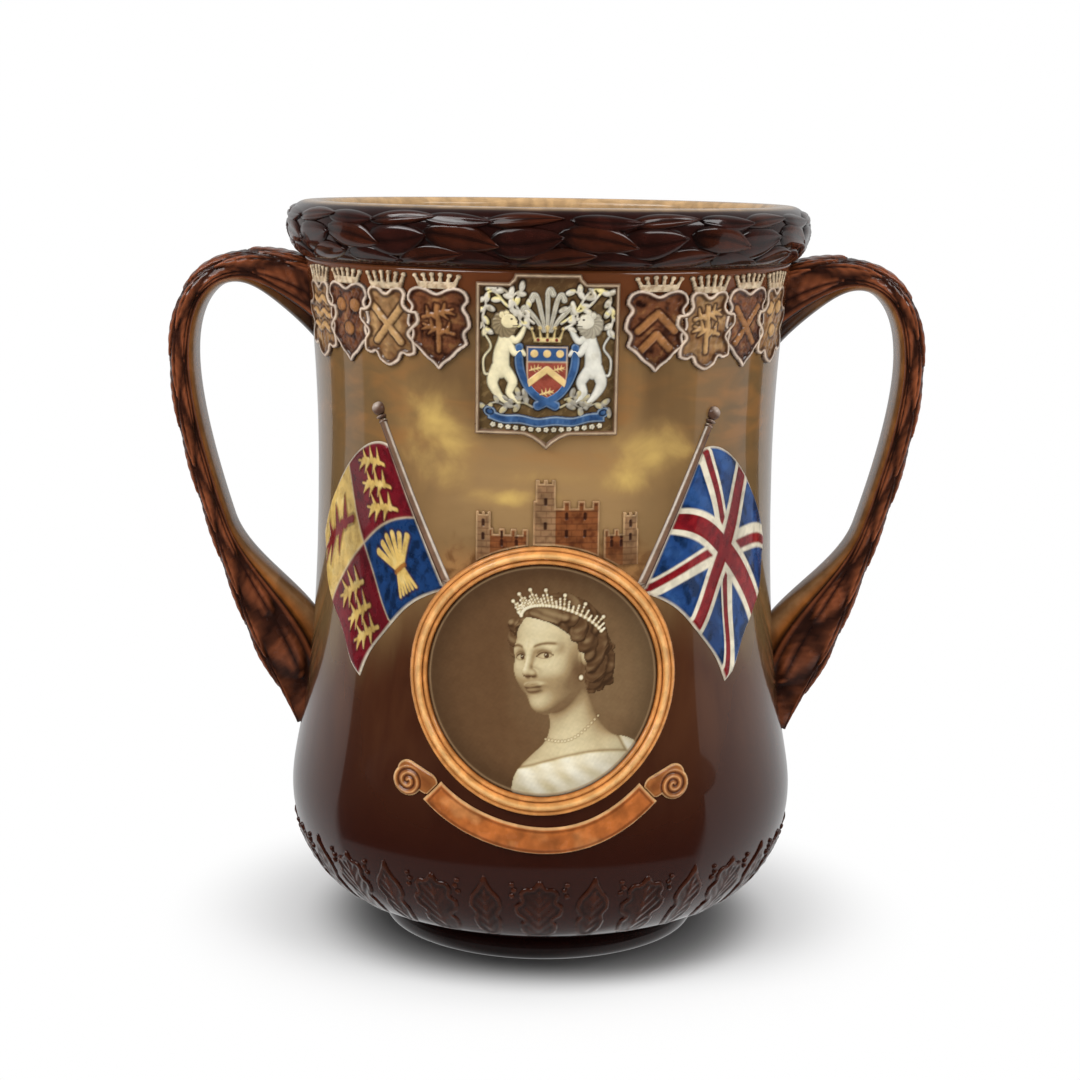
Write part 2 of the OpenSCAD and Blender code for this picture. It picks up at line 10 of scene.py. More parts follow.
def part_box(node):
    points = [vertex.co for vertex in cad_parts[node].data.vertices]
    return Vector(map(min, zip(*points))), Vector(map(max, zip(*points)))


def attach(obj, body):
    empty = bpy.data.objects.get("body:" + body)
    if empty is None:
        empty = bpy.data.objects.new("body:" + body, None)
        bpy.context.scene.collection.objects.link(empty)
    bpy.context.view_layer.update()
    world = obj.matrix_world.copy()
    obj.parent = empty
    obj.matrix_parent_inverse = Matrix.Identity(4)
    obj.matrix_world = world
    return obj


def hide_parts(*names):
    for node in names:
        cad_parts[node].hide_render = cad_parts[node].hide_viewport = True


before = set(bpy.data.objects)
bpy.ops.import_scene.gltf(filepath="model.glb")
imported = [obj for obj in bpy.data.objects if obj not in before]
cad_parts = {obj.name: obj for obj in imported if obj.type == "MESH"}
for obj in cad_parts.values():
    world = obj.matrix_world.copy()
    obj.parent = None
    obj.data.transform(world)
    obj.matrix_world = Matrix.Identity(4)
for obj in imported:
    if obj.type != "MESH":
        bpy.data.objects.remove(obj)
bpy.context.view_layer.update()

bl_info = {
    "name": "Loving Cup",
    "version": (1, 0, 0),
    "blender": (4, 5, 0),
    "location": "View3D > Sidebar > Loving Cup",
    "description": "Glazes, painted relief and stage for a two-handled loving cup",
    "category": "Object",
}

MM = 0.001


# Colours are written as the screen shows them, from 0 to 255
def tone(red, green, blue):
    """Linear colour of a screen colour."""
    parts = (c / 255 for c in (red, green, blue))
    return tuple(((c + 0.055) / 1.055) ** 2.4 if c > 0.04 else c / 12.92 for c in parts)


def shade(red, green, blue):
    """The same as an array, for painting relief."""
    return np.array(tone(red, green, blue))


def colour_prop(name, description, value):
    """Setting for a colour, with a screen colour to start from."""
    return bpy.props.FloatVectorProperty(
        name=name, description=description, size=3, min=0, max=1, subtype="COLOR", default=tone(*value))


def length_prop(name, description, value):
    """Setting for a length, in millimetres here."""
    return bpy.props.FloatProperty(
        name=name, description=description, default=value * MM, min=0, unit="LENGTH")


def power_prop(name, light, value):
    """Setting for the power of a light."""
    return bpy.props.FloatProperty(
        name=name, description="Power of the " + light, default=value, min=0, unit="POWER")


class CupSizes(bpy.types.PropertyGroup):
    """Sizes and counts of the looks that a user would change."""
    wreath_leaves: bpy.props.IntProperty(
        name="Wreath leaves", description="Leaves in each row round the rim", default=27, min=12, max=48)
    wreath_leaf: length_prop("Wreath leaf", "Length of a leaf round the rim", 27)
    border_leaves: bpy.props.IntProperty(
        name="Border leaves", description="Leaves round the bowl", default=30, min=16, max=48)
    handle_leaf: length_prop("Handle leaf", "Length of a leaf on the handles", 25)


class CupColours(bpy.types.PropertyGroup):
    """Colours of the glazes and enamels."""
    sky: colour_prop("Sky", "Middle colour of the sky", (136, 104, 66))
    dusk: colour_prop("Dusk", "Darker streaks of the sky", (106, 80, 50))
    cloud: colour_prop("Cloud", "Lit clouds", (208, 174, 98))
    haze: colour_prop("Haze", "Pale band above the castle", (156, 124, 82))
    ground: colour_prop("Ground", "Brown of the lower body", (78, 44, 24))
    dark: colour_prop("Dark glaze", "Rim and foot", (36, 12, 8))
    inside: colour_prop("Inside", "Glaze inside the cup", (150, 112, 76))
    amber: colour_prop("Amber", "Frame", (216, 150, 84))
    tan: colour_prop("Tan", "Pale shields", (150, 113, 74))
    brown: colour_prop("Brown", "Dark shields", (112, 66, 40))
    cream: colour_prop("Cream", "Cream enamel", (234, 222, 182))
    blue: colour_prop("Blue", "Blue enamel", (28, 62, 114))
    red: colour_prop("Red", "Red enamel", (128, 16, 24))
    gold: colour_prop("Gold", "Yellow enamel", (206, 172, 96))


class CupStage(bpy.types.PropertyGroup):
    """Light and camera."""
    key_power: power_prop("Key light", "softbox on the left", 2.5)
    fill_power: power_prop("Fill light", "softbox on the right", 4.4)
    top_power: power_prop("Top light", "softbox above", 3.6)
    strip_power: power_prop("Strip light", "strip that the glaze mirrors", 4.0)
    window_power: power_prop("Window lights", "two windows that the glaze mirrors", 4.5)
    world_level: bpy.props.FloatProperty(
        name="World", description="Light from all round", default=0.3, min=0, max=2)
    lens: bpy.props.FloatProperty(
        name="Lens", description="Focal length in millimetres on a 36 mm sensor", default=74.21, min=20)


def sizes():
    """Sizes and counts that are set now."""
    return bpy.context.scene.cup_sizes


def colour(name):
    """Linear colour of a named glaze, as an array."""
    return np.array(getattr(bpy.context.scene.cup_colours, name))


# Shapes read from the frame, in millimetres

def node_tree(name):
    """Search tree of a node's mesh."""
    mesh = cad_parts[name].data
    return BVHTree.FromPolygons([v.co for v in mesh.vertices], [tuple(p.vertices) for p in mesh.polygons])


def node_box(name):
    """Lowest and highest corner of a node."""
    low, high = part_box(name)
    return np.array(low) / MM, np.array(high) / MM


def ray_radii(tree, heights, from_axis):
    """Radius of a turned node at each height, met from the axis or from outside, along +X."""
    far = 0.3
    start = 0.0 if from_axis else far
    heading = Vector((1 if from_axis else -1, 0, 0))
    found = []
    for z in heights:
        hit = tree.ray_cast(Vector((start, 0, z * MM)), heading)[0]
        found.append(hit.x / MM if hit else found[-1])
    return np.array(found)


def soften(values, sigma):
    """Gaussian smoothing along the last axis that keeps straight ends straight."""
    reach = int(3 * sigma + 1)
    kernel = np.exp(-0.5 * (np.arange(-reach, reach + 1) / sigma) ** 2)
    kernel /= kernel.sum()
    first = 2 * values[0] - values[reach:0:-1]
    last = 2 * values[-1] - values[-2:-reach - 2:-1]
    return np.convolve(np.concatenate([first, values, last]), kernel, "valid")


body_low, body_high = node_box("body")
FOOT_Z, NECK_Z = body_low[2], body_high[2]
RIM_REACH, _, CUP_H = node_box("rim_band")[1]
BODY_TREE = node_tree("body")
EDGE = 0.05
WALL_Z = np.linspace(FOOT_Z + EDGE, NECK_Z - EDGE, 420)
WALL_R = soften(ray_radii(BODY_TREE, WALL_Z, False), 4)
INNER_Z = np.linspace(FOOT_Z + 8, NECK_Z - EDGE, 90)
INNER_R = soften(ray_radii(BODY_TREE, INNER_Z, True), 2)


def wall(z):
    """Outer radius of the wall at a height."""
    return np.interp(z, WALL_Z, WALL_R)


# Meshes from arrays

def triangles(faces):
    """Every face as triangles, for measuring."""
    parts = []
    for f in faces:
        parts += [f[:, [0, k, k + 1]] for k in range(1, f.shape[1] - 1)]
    return np.concatenate(parts)


def facing_out(points, faces):
    """The same faces, turned round if the closed shape is inside out."""
    a, b, c = (points[triangles(faces)[:, k]] for k in range(3))
    if np.einsum("ij,ij->i", a, np.cross(b, c)).sum() < 0:
        return [f[:, ::-1] for f in faces]
    return faces


def new_mesh(name, points, faces, paint):
    """Mesh from points in millimetres, arrays of faces with 3 or 4 corners and a colour for each point."""
    faces = facing_out(points, faces)
    mesh = bpy.data.meshes.new(name)
    counts = np.concatenate([np.full(len(f), f.shape[1]) for f in faces])
    corners = np.concatenate([f.ravel() for f in faces])
    mesh.vertices.add(len(points))
    mesh.vertices.foreach_set("co", (points * MM).astype(np.float32).ravel())
    mesh.loops.add(len(corners))
    mesh.loops.foreach_set("vertex_index", corners.astype(np.int32))
    mesh.polygons.add(len(counts))
    mesh.polygons.foreach_set("loop_start", (np.cumsum(counts) - counts).astype(np.int32))
    mesh.polygons.foreach_set("use_smooth", np.ones(len(counts), bool))
    layer = mesh.attributes.new("paint", "FLOAT_COLOR", "POINT")
    rgba = np.concatenate([paint, np.ones((len(points), 1))], 1)
    layer.data.foreach_set("color", rgba.astype(np.float32).ravel())
    mesh.update(calc_edges=True)
    if mesh.validate():
        raise RuntimeError(f"{name} has faces that are not valid")
    return mesh


def add_object(name, data):
    """New object in the scene."""
    made = bpy.data.objects.new(name, data)
    bpy.context.scene.collection.objects.link(made)
    return made


def add_piece(mesh, node, material):
    """Object for a finished mesh that stands for a CAD node, with its material; the node's own solid is
    hidden.
    """
    mesh.materials.clear()
    mesh.materials.append(material)
    piece = add_object(mesh.name, mesh)
    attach(piece, "root")
    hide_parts(node)


def grid_faces(rows, columns, wrap=False, closed=False):
    """Quads of a grid of points; wrap joins its last column to the first, closed its last row."""
    i = np.arange(rows if closed else rows - 1)[:, None] * columns
    j = np.arange(columns if wrap else columns - 1)
    k = (j + 1) % columns
    onward = (i + columns) % (rows * columns)
    return np.stack([i + j, i + k, onward + k, onward + j], -1).reshape(-1, 4)


def tube_faces(rows, columns):
    """Faces of a tube with a fan over each end; its two end points follow the points of the grid."""
    j = np.arange(columns)
    k = (j + 1) % columns
    last = (rows - 1) * columns
    end = np.full(columns, rows * columns)
    fans = [np.stack([end, k, j], -1), np.stack([end + 1, last + j, last + k], -1)]
    return [grid_faces(rows, columns, True), *fans]


def lathe(profile, segments, closed):
    """Points and faces of a turned shape; an open profile starts and ends on the axis."""
    turns = np.arange(segments) * 2 * pi / segments
    rings = profile if closed else profile[1:-1]
    r, z = rings[:, :1], rings[:, 1:]
    points = np.stack([r * np.cos(turns), r * np.sin(turns), z + 0 * turns], -1).reshape(-1, 3)
    if closed:
        return points, [grid_faces(len(rings), segments, True, True)]
    ends = np.array([[0, 0, profile[0, 1]], [0, 0, profile[-1, 1]]])
    return np.concatenate([points, ends]), tube_faces(len(rings), segments)


def ease(t, low, high):
    """Smooth step from 0 to 1 as t goes from low to high."""
    s = np.clip((t - low) / (high - low), 0, 1)
    return s * s * (3 - 2 * s)


def bezier(a, b, c, d, t):
    """Points of a curve from a to d that heads for b and comes from c."""
    t = np.asarray(t)[..., None]
    return (1 - t) ** 3 * a + 3 * (1 - t) ** 2 * t * b + 3 * (1 - t) * t * t * c + t ** 3 * d


# Materials

class Paint:
    """A socket of a material's node tree; sums with these add Math nodes."""

    def __init__(self, tree, socket=None):
        self.tree = tree
        self.socket = socket

    def node(self, kind, settings, inputs, output=0):
        """A new node: its settings are set first, then the values or links of its sockets."""
        made = self.tree.nodes.new(kind)
        for key, value in settings.items():
            if key == "stops":
                for place, stop in zip(value, made.color_ramp.elements):
                    stop.position = place[0]
                    stop.color = (*place[1], 1)
            else:
                setattr(made, key, value)
        for key, value in inputs.items():
            target = next(s for s in made.inputs if s.identifier == key)
            if isinstance(value, Paint):
                self.tree.links.new(value.socket, target)
            else:
                target.default_value = (*value, 1) if target.type == "RGBA" else value
        return Paint(self.tree, made.outputs[output])

    def math(self, operation, other=0.0, reflected=False):
        """A sum of this and another socket or value."""
        first, second = (other, self) if reflected else (self, other)
        return self.node("ShaderNodeMath", {"operation": operation}, {"Value": first, "Value_001": second})

    def __add__(self, other):
        return self.math("ADD", other)

    def __sub__(self, other):
        return self.math("SUBTRACT", other)

    def __mul__(self, other):
        return self.math("MULTIPLY", other)

    def __rsub__(self, other):
        return self.math("SUBTRACT", other, True)

    __radd__ = __add__
    __rmul__ = __mul__

    def ease(self, low, high):
        """Smooth step from 0 to 1 between two values."""
        return self.node("ShaderNodeMapRange", {"interpolation_type": "SMOOTHSTEP"},
                         {"Value": self, "From Min": low, "From Max": high})

    def mix(self, first, second):
        """Colour that goes from first to second as this goes from 0 to 1."""
        return self.node("ShaderNodeMix", {"data_type": "RGBA"},
                         {"Factor_Float": self, "A_Color": first, "B_Color": second}, 2)

    def noise(self, place, scale, detail=4.0, distortion=0.0):
        """Noise from 0 to 1 over a place."""
        return self.node("ShaderNodeTexNoise", {},
                         {"Vector": place, "Scale": scale, "Detail": detail, "Distortion": distortion})


def new_material(name):
    """New material, its shader, a brush for its tree and the Object coordinates to paint by."""
    material = bpy.data.materials.new(name)
    material.use_nodes = True
    tree = material.node_tree
    shader = tree.nodes["Principled BSDF"]
    brush = Paint(tree)
    place = brush.node("ShaderNodeTexCoord", {}, {}, 3)
    return material, shader, brush, place


def set_gloss(shader, brush, place, colour_out, rough, coat, bump, grain):
    """Links a glaze's colour and gives it roughness, clear coat and the slight unevenness of hand work."""
    links = brush.tree.links
    links.new(colour_out.socket, shader.inputs["Base Color"])
    cloudy = brush.noise(place, grain, 3.0)
    links.new((cloudy * 0.16 + (rough - 0.08)).socket, shader.inputs["Roughness"])
    ripple = brush.noise(place, grain * 0.45, 2.0)
    made = brush.node("ShaderNodeBump", {}, {"Strength": bump, "Distance": 0.0006, "Height": ripple})
    links.new(made.socket, shader.inputs["Normal"])
    shader.inputs["Coat Weight"].default_value = coat
    shader.inputs["Coat Roughness"].default_value = 0.03
    shader.inputs["Coat IOR"].default_value = 1.45
    shader.inputs["Specular IOR Level"].default_value = 0.15


def painted_glaze(name, rough, coat, grain, strength, bump=0.12):
    """Glaze over a piece's own painted colours, mottled where it ran thick and thin."""
    material, shader, brush, place = new_material(name)
    base = brush.node("ShaderNodeAttribute", {"attribute_name": "paint"}, {})
    mottle = brush.noise(place, grain, 5.0, 0.3)
    thick, thin = (brush.node("ShaderNodeMix", {"data_type": "RGBA", "blend_type": "MULTIPLY"},
                              {"Factor_Float": 1.0, "A_Color": base, "B_Color": (share,) * 3}, 2)
                   for share in (1 - strength, 1 + strength * 0.6))
    varied = mottle.ease(0.3, 0.7).mix(thick, thin)
    set_gloss(shader, brush, place, varied, rough, coat, bump, grain)
    return material


# Clouds: angle round the cup and height of the middle, half width in degrees and half height
CLOUDS = (
    (-26, 190, 9, 15), (-24, 178, 6, 6), (23, 183, 11, 10), (16, 176, 11, 5), (4, 177, 14, 3),
    (-4, 170, 12, 3), (148, 186, 15, 13), (164, 176, 8, 5), (-150, 189, 14, 12), (-118, 178, 9, 7),
    (112, 180, 10, 8))


def sky_glaze():
    """The painted wall: sky with clouds, dark ground below, a red-brown band under the rim, tan inside."""
    material, shader, brush, place = new_material("body_glaze")
    axes = [brush.node("ShaderNodeSeparateXYZ", {}, {"Vector": place}, k) for k in range(3)]
    turn = axes[0].math("ARCTAN2", axes[1] * -1.0) * (180 / pi)
    height = axes[2] * (1 / MM)
    tall, flat = (brush.node("ShaderNodeVectorMath", {"operation": "MULTIPLY"},
                             {"Vector": place, "Vector_001": (1.0, 1.0, up)}) for up in (0.3, 2.6))
    wash = brush.noise(tall, 26.0, 4.0, 0.4)
    brushed = brush.noise(flat, 60.0, 6.0, 0.6)
    puffs = brush.noise(place, 52.0, 7.0, 0.5)
    side = (turn * turn).ease(250.0, 2600.0)
    sky = wash.ease(0.32, 0.66).mix(colour("dusk"), colour("sky"))
    sky = (side * (wash * 0.8 + 0.4)).mix(sky, tone(104, 82, 52))
    middle = 1 - (turn * turn).ease(40.0, 1300.0)
    low_sky = 1 - (height - 172).math("ABSOLUTE").ease(6.0, 34.0)
    sky = (middle * low_sky * (brushed * 0.5 + 0.55)).mix(sky, colour("haze"))
    blush = (wash * brushed).ease(0.18, 0.46) * (1 - (height - 200).math("ABSOLUTE").ease(8.0, 30.0))
    sky = (blush * 0.55).mix(sky, tone(156, 106, 56))
    bank = None
    for at, up, half_turn, half_up in CLOUDS:
        across = ((turn - at) * (1 / half_turn)).math("POWER", 2.0)
        along = ((height - up) * (1 / half_up)).math("POWER", 2.0)
        spot = 1 - (across + along)
        bank = spot if bank is None else bank.math("MAXIMUM", spot)
    bank = bank + (puffs - 0.5) * 5.5
    sky = (bank.ease(-1.0, 1.2) * 0.4).mix(sky, tone(172, 136, 82))
    sky = (bank.ease(0.0, 2.3) * 0.85).mix(sky, colour("cloud"))
    under_rim = (height + (wash - 0.5) * 26).ease(220.0, 238.0)
    sky = (under_rim * 0.85).mix(sky, tone(96, 44, 18))
    streaks = brush.noise(tall, 70.0, 5.0, 0.5)
    leafy = brush.noise(place, 150.0, 6.0, 0.8)
    trees = 1 - (height + (leafy - 0.5) * 18).ease(147.0, 157.0)
    trees = trees * (1 - (turn * turn).ease(420.0, 900.0))
    sky = (trees * 0.85).mix(sky, leafy.ease(0.35, 0.65).mix(tone(104, 66, 36), tone(160, 116, 70)))
    beside = (turn * turn).ease(500.0, 5200.0)
    horizon = height + beside * 30 + (streaks - 0.5) * 34 + (wash - 0.5) * 26
    low = 1 - horizon.ease(112.0, 144.0)
    earth = streaks.ease(0.35, 0.7).mix(colour("ground"), tone(64, 32, 16))
    deep = 1 - height.ease(42.0, 104.0)
    earth = deep.mix(earth, tone(46, 15, 6))
    outer = low.mix(sky, earth)
    inside = brush.node("ShaderNodeAttribute", {"attribute_name": "paint"}, {}, 2)
    inner = brush.noise(place, 40.0).ease(0.3, 0.7).mix(colour("inside"), tone(132, 94, 62))
    set_gloss(shader, brush, place, inside.mix(outer, inner), 0.2, 0.85, 0.16, 70.0)
    return material


def make_body():
    """Turned wall, its floor and the inside."""
    segments = 256
    low = np.linspace(FOOT_Z + EDGE, 60, 44)
    high = np.linspace(61.5, NECK_Z, 96)
    outer = np.array([[wall(z), z] for z in np.concatenate([low, high])])
    inner = np.stack([INNER_R, INNER_Z], 1)[::-1]
    floor = inner[-1] - np.array([3, 1])
    profile = np.concatenate([[[0, FOOT_Z]], outer, inner, [floor, [0, floor[1]]]])
    points, faces = lathe(profile, segments, False)
    inside = np.zeros((len(points), 3))
    inside[len(outer) * segments:-2] = 1
    inside[-1] = 1
    add_piece(new_mesh("cup_body", points, faces, inside), "body", sky_glaze())


def make_foot(dark):
    """Foot ring with its round edge."""
    foot_r, _, tall = node_box("foot_ring")[1]
    width, round_r, round_z = 9, 4.0, tall * 0.42
    a = np.radians(np.linspace(-70, 66, 26))
    bead_line = np.stack([foot_r - round_r + round_r * np.cos(a), round_z + round_z * np.sin(a)], 1)
    edge = [[foot_r - width + 1, 0], [foot_r - round_r * 0.8, 0]]
    top = [[foot_r - 2.2, tall], [foot_r - width, tall], [foot_r - width, 1]]
    profile = np.concatenate([edge, bead_line, top])
    points, faces = lathe(profile, 192, True)
    paint = np.tile(colour("dark") * 0.75, (len(points), 1))
    add_piece(new_mesh("foot_ring_looks", points, faces, paint), "foot_ring", dark)


NECK_R = float(wall(NECK_Z))
RIM_ROOT = NECK_R - 1
RIM_MID = NECK_Z + (CUP_H - NECK_Z) * 0.65
RIM_R = RIM_REACH - 0.5
INNER_LIP = float(INNER_R[-1])


def rim_place(a, lift):
    """Radius and height on the rim's round face: a is its angle, lift the distance in front of it."""
    below = RIM_MID - NECK_Z
    above = CUP_H - RIM_MID
    reach = np.where(a < 0, below, above) + 0.2 * lift * np.sign(a)
    r = RIM_ROOT + (RIM_R + lift - RIM_ROOT) * np.cos(a)
    return r, RIM_MID + np.minimum(reach, below) * np.sin(a)


def make_rim(dark):
    """Moulded band with its lip."""
    lip = 3.0
    a = np.radians(np.linspace(-82, 90, 40))
    r, z = rim_place(a, 0 * a)
    b = np.radians(np.linspace(90, 180, 14))
    inner = np.stack([INNER_LIP + lip + lip * np.cos(b), CUP_H - lip + lip * np.sin(b)], 1)
    foot = [[INNER_LIP, NECK_Z - 2], [NECK_R - 1, NECK_Z - 2]]
    profile = np.concatenate([np.stack([r, z], 1), inner, foot])
    segments = 256
    points, faces = lathe(profile, segments, True)
    pale = np.repeat(ease(np.arange(len(profile)), len(a) - 9, len(a) - 2), segments)
    paint = lay(colour("dark"), pale, (196, 160, 116))
    add_piece(new_mesh("rim_band_looks", points, faces, paint), "rim_band", dark)


# Geometry Nodes

def ring_tree():
    """Tree that sets two kinds of leaf in turn round the cup's axis."""
    tree = bpy.data.node_groups.new("ring of leaves", "GeometryNodeTree")
    tree.interface.new_socket("Geometry", in_out="OUTPUT", socket_type="NodeSocketGeometry")
    for name, kind in (("Count", "Int"), ("Start", "Float"), ("Step", "Float"), ("Jitter", "Float"),
                       ("Seed", "Int"), ("First", "Object"), ("Second", "Object"), ("Finish", "Material")):
        tree.interface.new_socket(name, in_out="INPUT", socket_type="NodeSocket" + kind)
    given = tree.nodes.new("NodeGroupInput").outputs
    brush = Paint(tree)
    inputs = {s.name: Paint(tree, s) for s in given if s.name}
    line = brush.node("GeometryNodeMeshLine", {}, {"Count": inputs["Count"], "Offset": (0, 0, 0)})
    index = brush.node("GeometryNodeInputIndex", {}, {})
    jitter = inputs["Jitter"]
    spread = brush.node("FunctionNodeRandomValue", {"data_type": "FLOAT"},
                        {"Min_001": jitter * -1.0, "Max_001": jitter, "Seed": inputs["Seed"]}, 1)
    angle = inputs["Start"] + index * inputs["Step"] + spread
    heading = brush.node("ShaderNodeCombineXYZ", {}, {"Z": angle})
    gather = tree.nodes.new("GeometryNodeGeometryToInstance")
    for name in ("Second", "First"):
        leaf = brush.node("GeometryNodeObjectInfo", {}, {"Object": inputs[name]}, 4)
        tree.links.new(leaf.socket, gather.inputs[0])
    placed = brush.node("GeometryNodeInstanceOnPoints", {},
                        {"Points": line, "Instance": Paint(tree, gather.outputs[0]), "Pick Instance": True,
                         "Instance Index": index.math("MODULO", 2.0), "Rotation": heading})
    solid = brush.node("GeometryNodeRealizeInstances", {}, {"Geometry": placed})
    done = brush.node("GeometryNodeSetMaterial", {}, {"Geometry": solid, "Material": inputs["Finish"]})
    tree.links.new(done.socket, tree.nodes.new("NodeGroupOutput").inputs[0])
    return tree


def grow(tree, name, values):
    """Plain mesh of what a tree makes with these inputs."""
    helper = add_object(name, bpy.data.meshes.new(name))
    modifier = helper.modifiers.new("grow", "NODES")
    modifier.node_group = tree
    for socket in tree.interface.items_tree:
        if socket.in_out == "INPUT" and socket.name in values:
            modifier[socket.identifier] = values[socket.name]
    bpy.context.view_layer.update()
    ready = helper.evaluated_get(bpy.context.evaluated_depsgraph_get())
    mesh = bpy.data.meshes.new_from_object(ready)
    mesh.name = name
    helper.modifiers.remove(modifier)
    bpy.data.objects.remove(helper)
    return mesh


def rings(name, sets, material):
    """Meshes of rings of leaves; each set gives two leaf meshes, the count, start, jitter and seed."""
    tree = ring_tree()
    grown = []
    for first, second, count, start, jitter, seed in sets:
        leaves = [add_object(m.name, m) for m in (first, second)]
        grown.append(grow(tree, name, {
            "Count": count, "Start": start, "Step": 2 * pi / count, "Jitter": jitter, "Seed": seed,
            "First": leaves[0], "Second": leaves[1], "Finish": material}))
        for leaf in leaves:
            bpy.data.objects.remove(leaf)
    return grown


def read(items, key, width, kind=np.float32):
    """Array of one property of a mesh's vertices, loops or faces."""
    values = np.empty(len(items) * width, kind)
    items.foreach_get(key, values)
    return values


def join(name, meshes):
    """One mesh out of several that share the paint layer."""
    points, faces, paint, base = [], {}, [], 0
    for mesh in meshes:
        corners = read(mesh.loops, "vertex_index", 1, np.int32)
        counts = read(mesh.polygons, "loop_total", 1, np.int32)
        starts = np.cumsum(counts) - counts
        for sides in np.unique(counts):
            rows = starts[counts == sides][:, None] + np.arange(sides)
            faces.setdefault(sides, []).append(corners[rows] + base)
        points.append(read(mesh.vertices, "co", 3).reshape(-1, 3) / MM)
        paint.append(read(mesh.attributes["paint"].data, "color", 4).reshape(-1, 4)[:, :3])
        base += len(mesh.vertices)
    faces = [np.concatenate(f) for f in faces.values()]
    return new_mesh(name, np.concatenate(points), faces, np.concatenate(paint))


def leaf_mesh(name, rows, columns, put, lifted, tint):
    """Closed leaf: put lays a grid of along 0..1 and across -1..1 on a surface, tint paints it."""
    along, across = np.meshgrid(np.linspace(0, 1, rows), np.linspace(-1, 1, columns), indexing="ij")
    lift = lifted(along, across)
    return sheet_shell(name, put(along, across, lift), put(along, across, -0.9), tint(along, across, lift))


def rim_leaf(name, length, width, tilt, at, bend, glow):
    """Laurel leaf that lies along the rim, with its midrib and veins."""
    def outline(along):
        return np.maximum(np.sin(pi * along ** 0.82) ** 0.75, 0.05)

    def put(along, across, lift):
        s = (along - 0.5) * length
        t = across * width / 2 * outline(along) + bend * np.sin(pi * along)
        turn = (s * cos(tilt) - t * sin(tilt)) / RIM_R
        a = at + (s * sin(tilt) + t * cos(tilt)) / 9.5
        r, z = rim_place(np.clip(a, -1.45, 1.35), lift)
        return np.stack([r * np.sin(turn), -r * np.cos(turn), z], -1)

    def lifted(along, across):
        arch = ridge(across, 0, 1)
        rise = 0.35 + 0.65 * ease(along, 0, 0.35)
        rib = bell(across, 0.16)
        veins = 0.12 * np.cos(2 * pi * (along * 7 - abs(across) * 1.6))
        return 0.1 + (1.25 * arch - 0.55 * rib + veins * arch * (1 - rib)) * rise

    def tint(along, across, lift):
        # Painted highlight: each leaf is lighter the higher it lifts from the rim.
        paint = lay(primer(lift, (20, 6, 4)), ease(lift, 0.5, 1.3), glow)
        return lay(paint, 0.6 * bell(across, 0.13), (22, 7, 5))

    return leaf_mesh(name, 15, 9, put, lifted, tint)


def make_wreath(dark):
    """Three rows of laurel leaves round the rim."""
    length = sizes().wreath_leaf / MM
    count = sizes().wreath_leaves
    rows = ((-0.92, 8.0, 0.16), (-0.28, 9.0, -0.12), (0.42, 8.0, 0.1))
    sets = []
    for k, (at, width, tilt) in enumerate(rows):
        # The last colour given to each leaf is the painted highlight on its raised parts.
        first = rim_leaf(f"laurel_{k}_a", length, width, tilt, at, 0.8, (60, 25, 12))
        second = rim_leaf(f"laurel_{k}_b", length * 0.92, width * 1.1, -tilt * 0.6, at, -0.7, (46, 17, 11))
        sets.append((first, second, 2 * (count // 2), 0.11 * k + 0.05 * k * k, 0.035, 3 + k))
    mesh = join("rim_wreath_looks", rings("rim_wreath_grown", sets, dark))
    add_piece(mesh, "rim_wreath", dark)


# Relief: distances to outlines on a grid over the wall, then height and paint, then a closed mesh

def patch(low, high, step):
    """Grid of a flat patch; the first axis runs along u, the second up."""
    u = np.arange(low[0], high[0] + step, step)
    v = np.arange(low[1], high[1] + step, step)
    return np.meshgrid(u, v, indexing="ij")


def polygon_distance(u, v, points):
    """Distance to an outline, negative inside."""
    near = np.full(u.shape, 1e9)
    inside = np.zeros(u.shape, bool)
    corners = np.asarray(points, float)
    for a, b in zip(corners, np.roll(corners, -1, 0)):
        e = b - a
        t = np.clip(((u - a[0]) * e[0] + (v - a[1]) * e[1]) / max(e @ e, 1e-9), 0, 1)
        near = np.minimum(near, (u - a[0] - e[0] * t) ** 2 + (v - a[1] - e[1] * t) ** 2)
        rise = e[1] if abs(e[1]) > 1e-9 else 1e-9
        inside ^= ((a[1] > v) != (b[1] > v)) & (u < a[0] + (v - a[1]) * e[0] / rise)
    return np.where(inside, -1, 1) * np.sqrt(near)


def stroke_distance(u, v, points, first, last=None):
    """Distance to a brush stroke whose width goes from first to last."""
    line = np.asarray(points, float)
    widths = np.linspace(first, first if last is None else last, len(line))
    near = np.full(u.shape, 1e9)
    for k in range(len(line) - 1):
        e = line[k + 1] - line[k]
        t = np.clip(((u - line[k, 0]) * e[0] + (v - line[k, 1]) * e[1]) / max(e @ e, 1e-9), 0, 1)
        far = np.hypot(u - line[k, 0] - e[0] * t, v - line[k, 1] - e[1] * t)
        near = np.minimum(near, far - (widths[k] + (widths[k + 1] - widths[k]) * t) / 2)
    return near


def spot_distance(u, v, at, half_u, half_v=None, lean=0.0):
    """Distance to an ellipse, close enough for relief."""
    half_v = half_u if half_v is None else half_v
    c, s = cos(radians(lean)), sin(radians(lean))
    x, y = u - at[0], v - at[1]
    return (np.hypot((x * c + y * s) / half_u, (y * c - x * s) / half_v) - 1) * min(half_u, half_v)


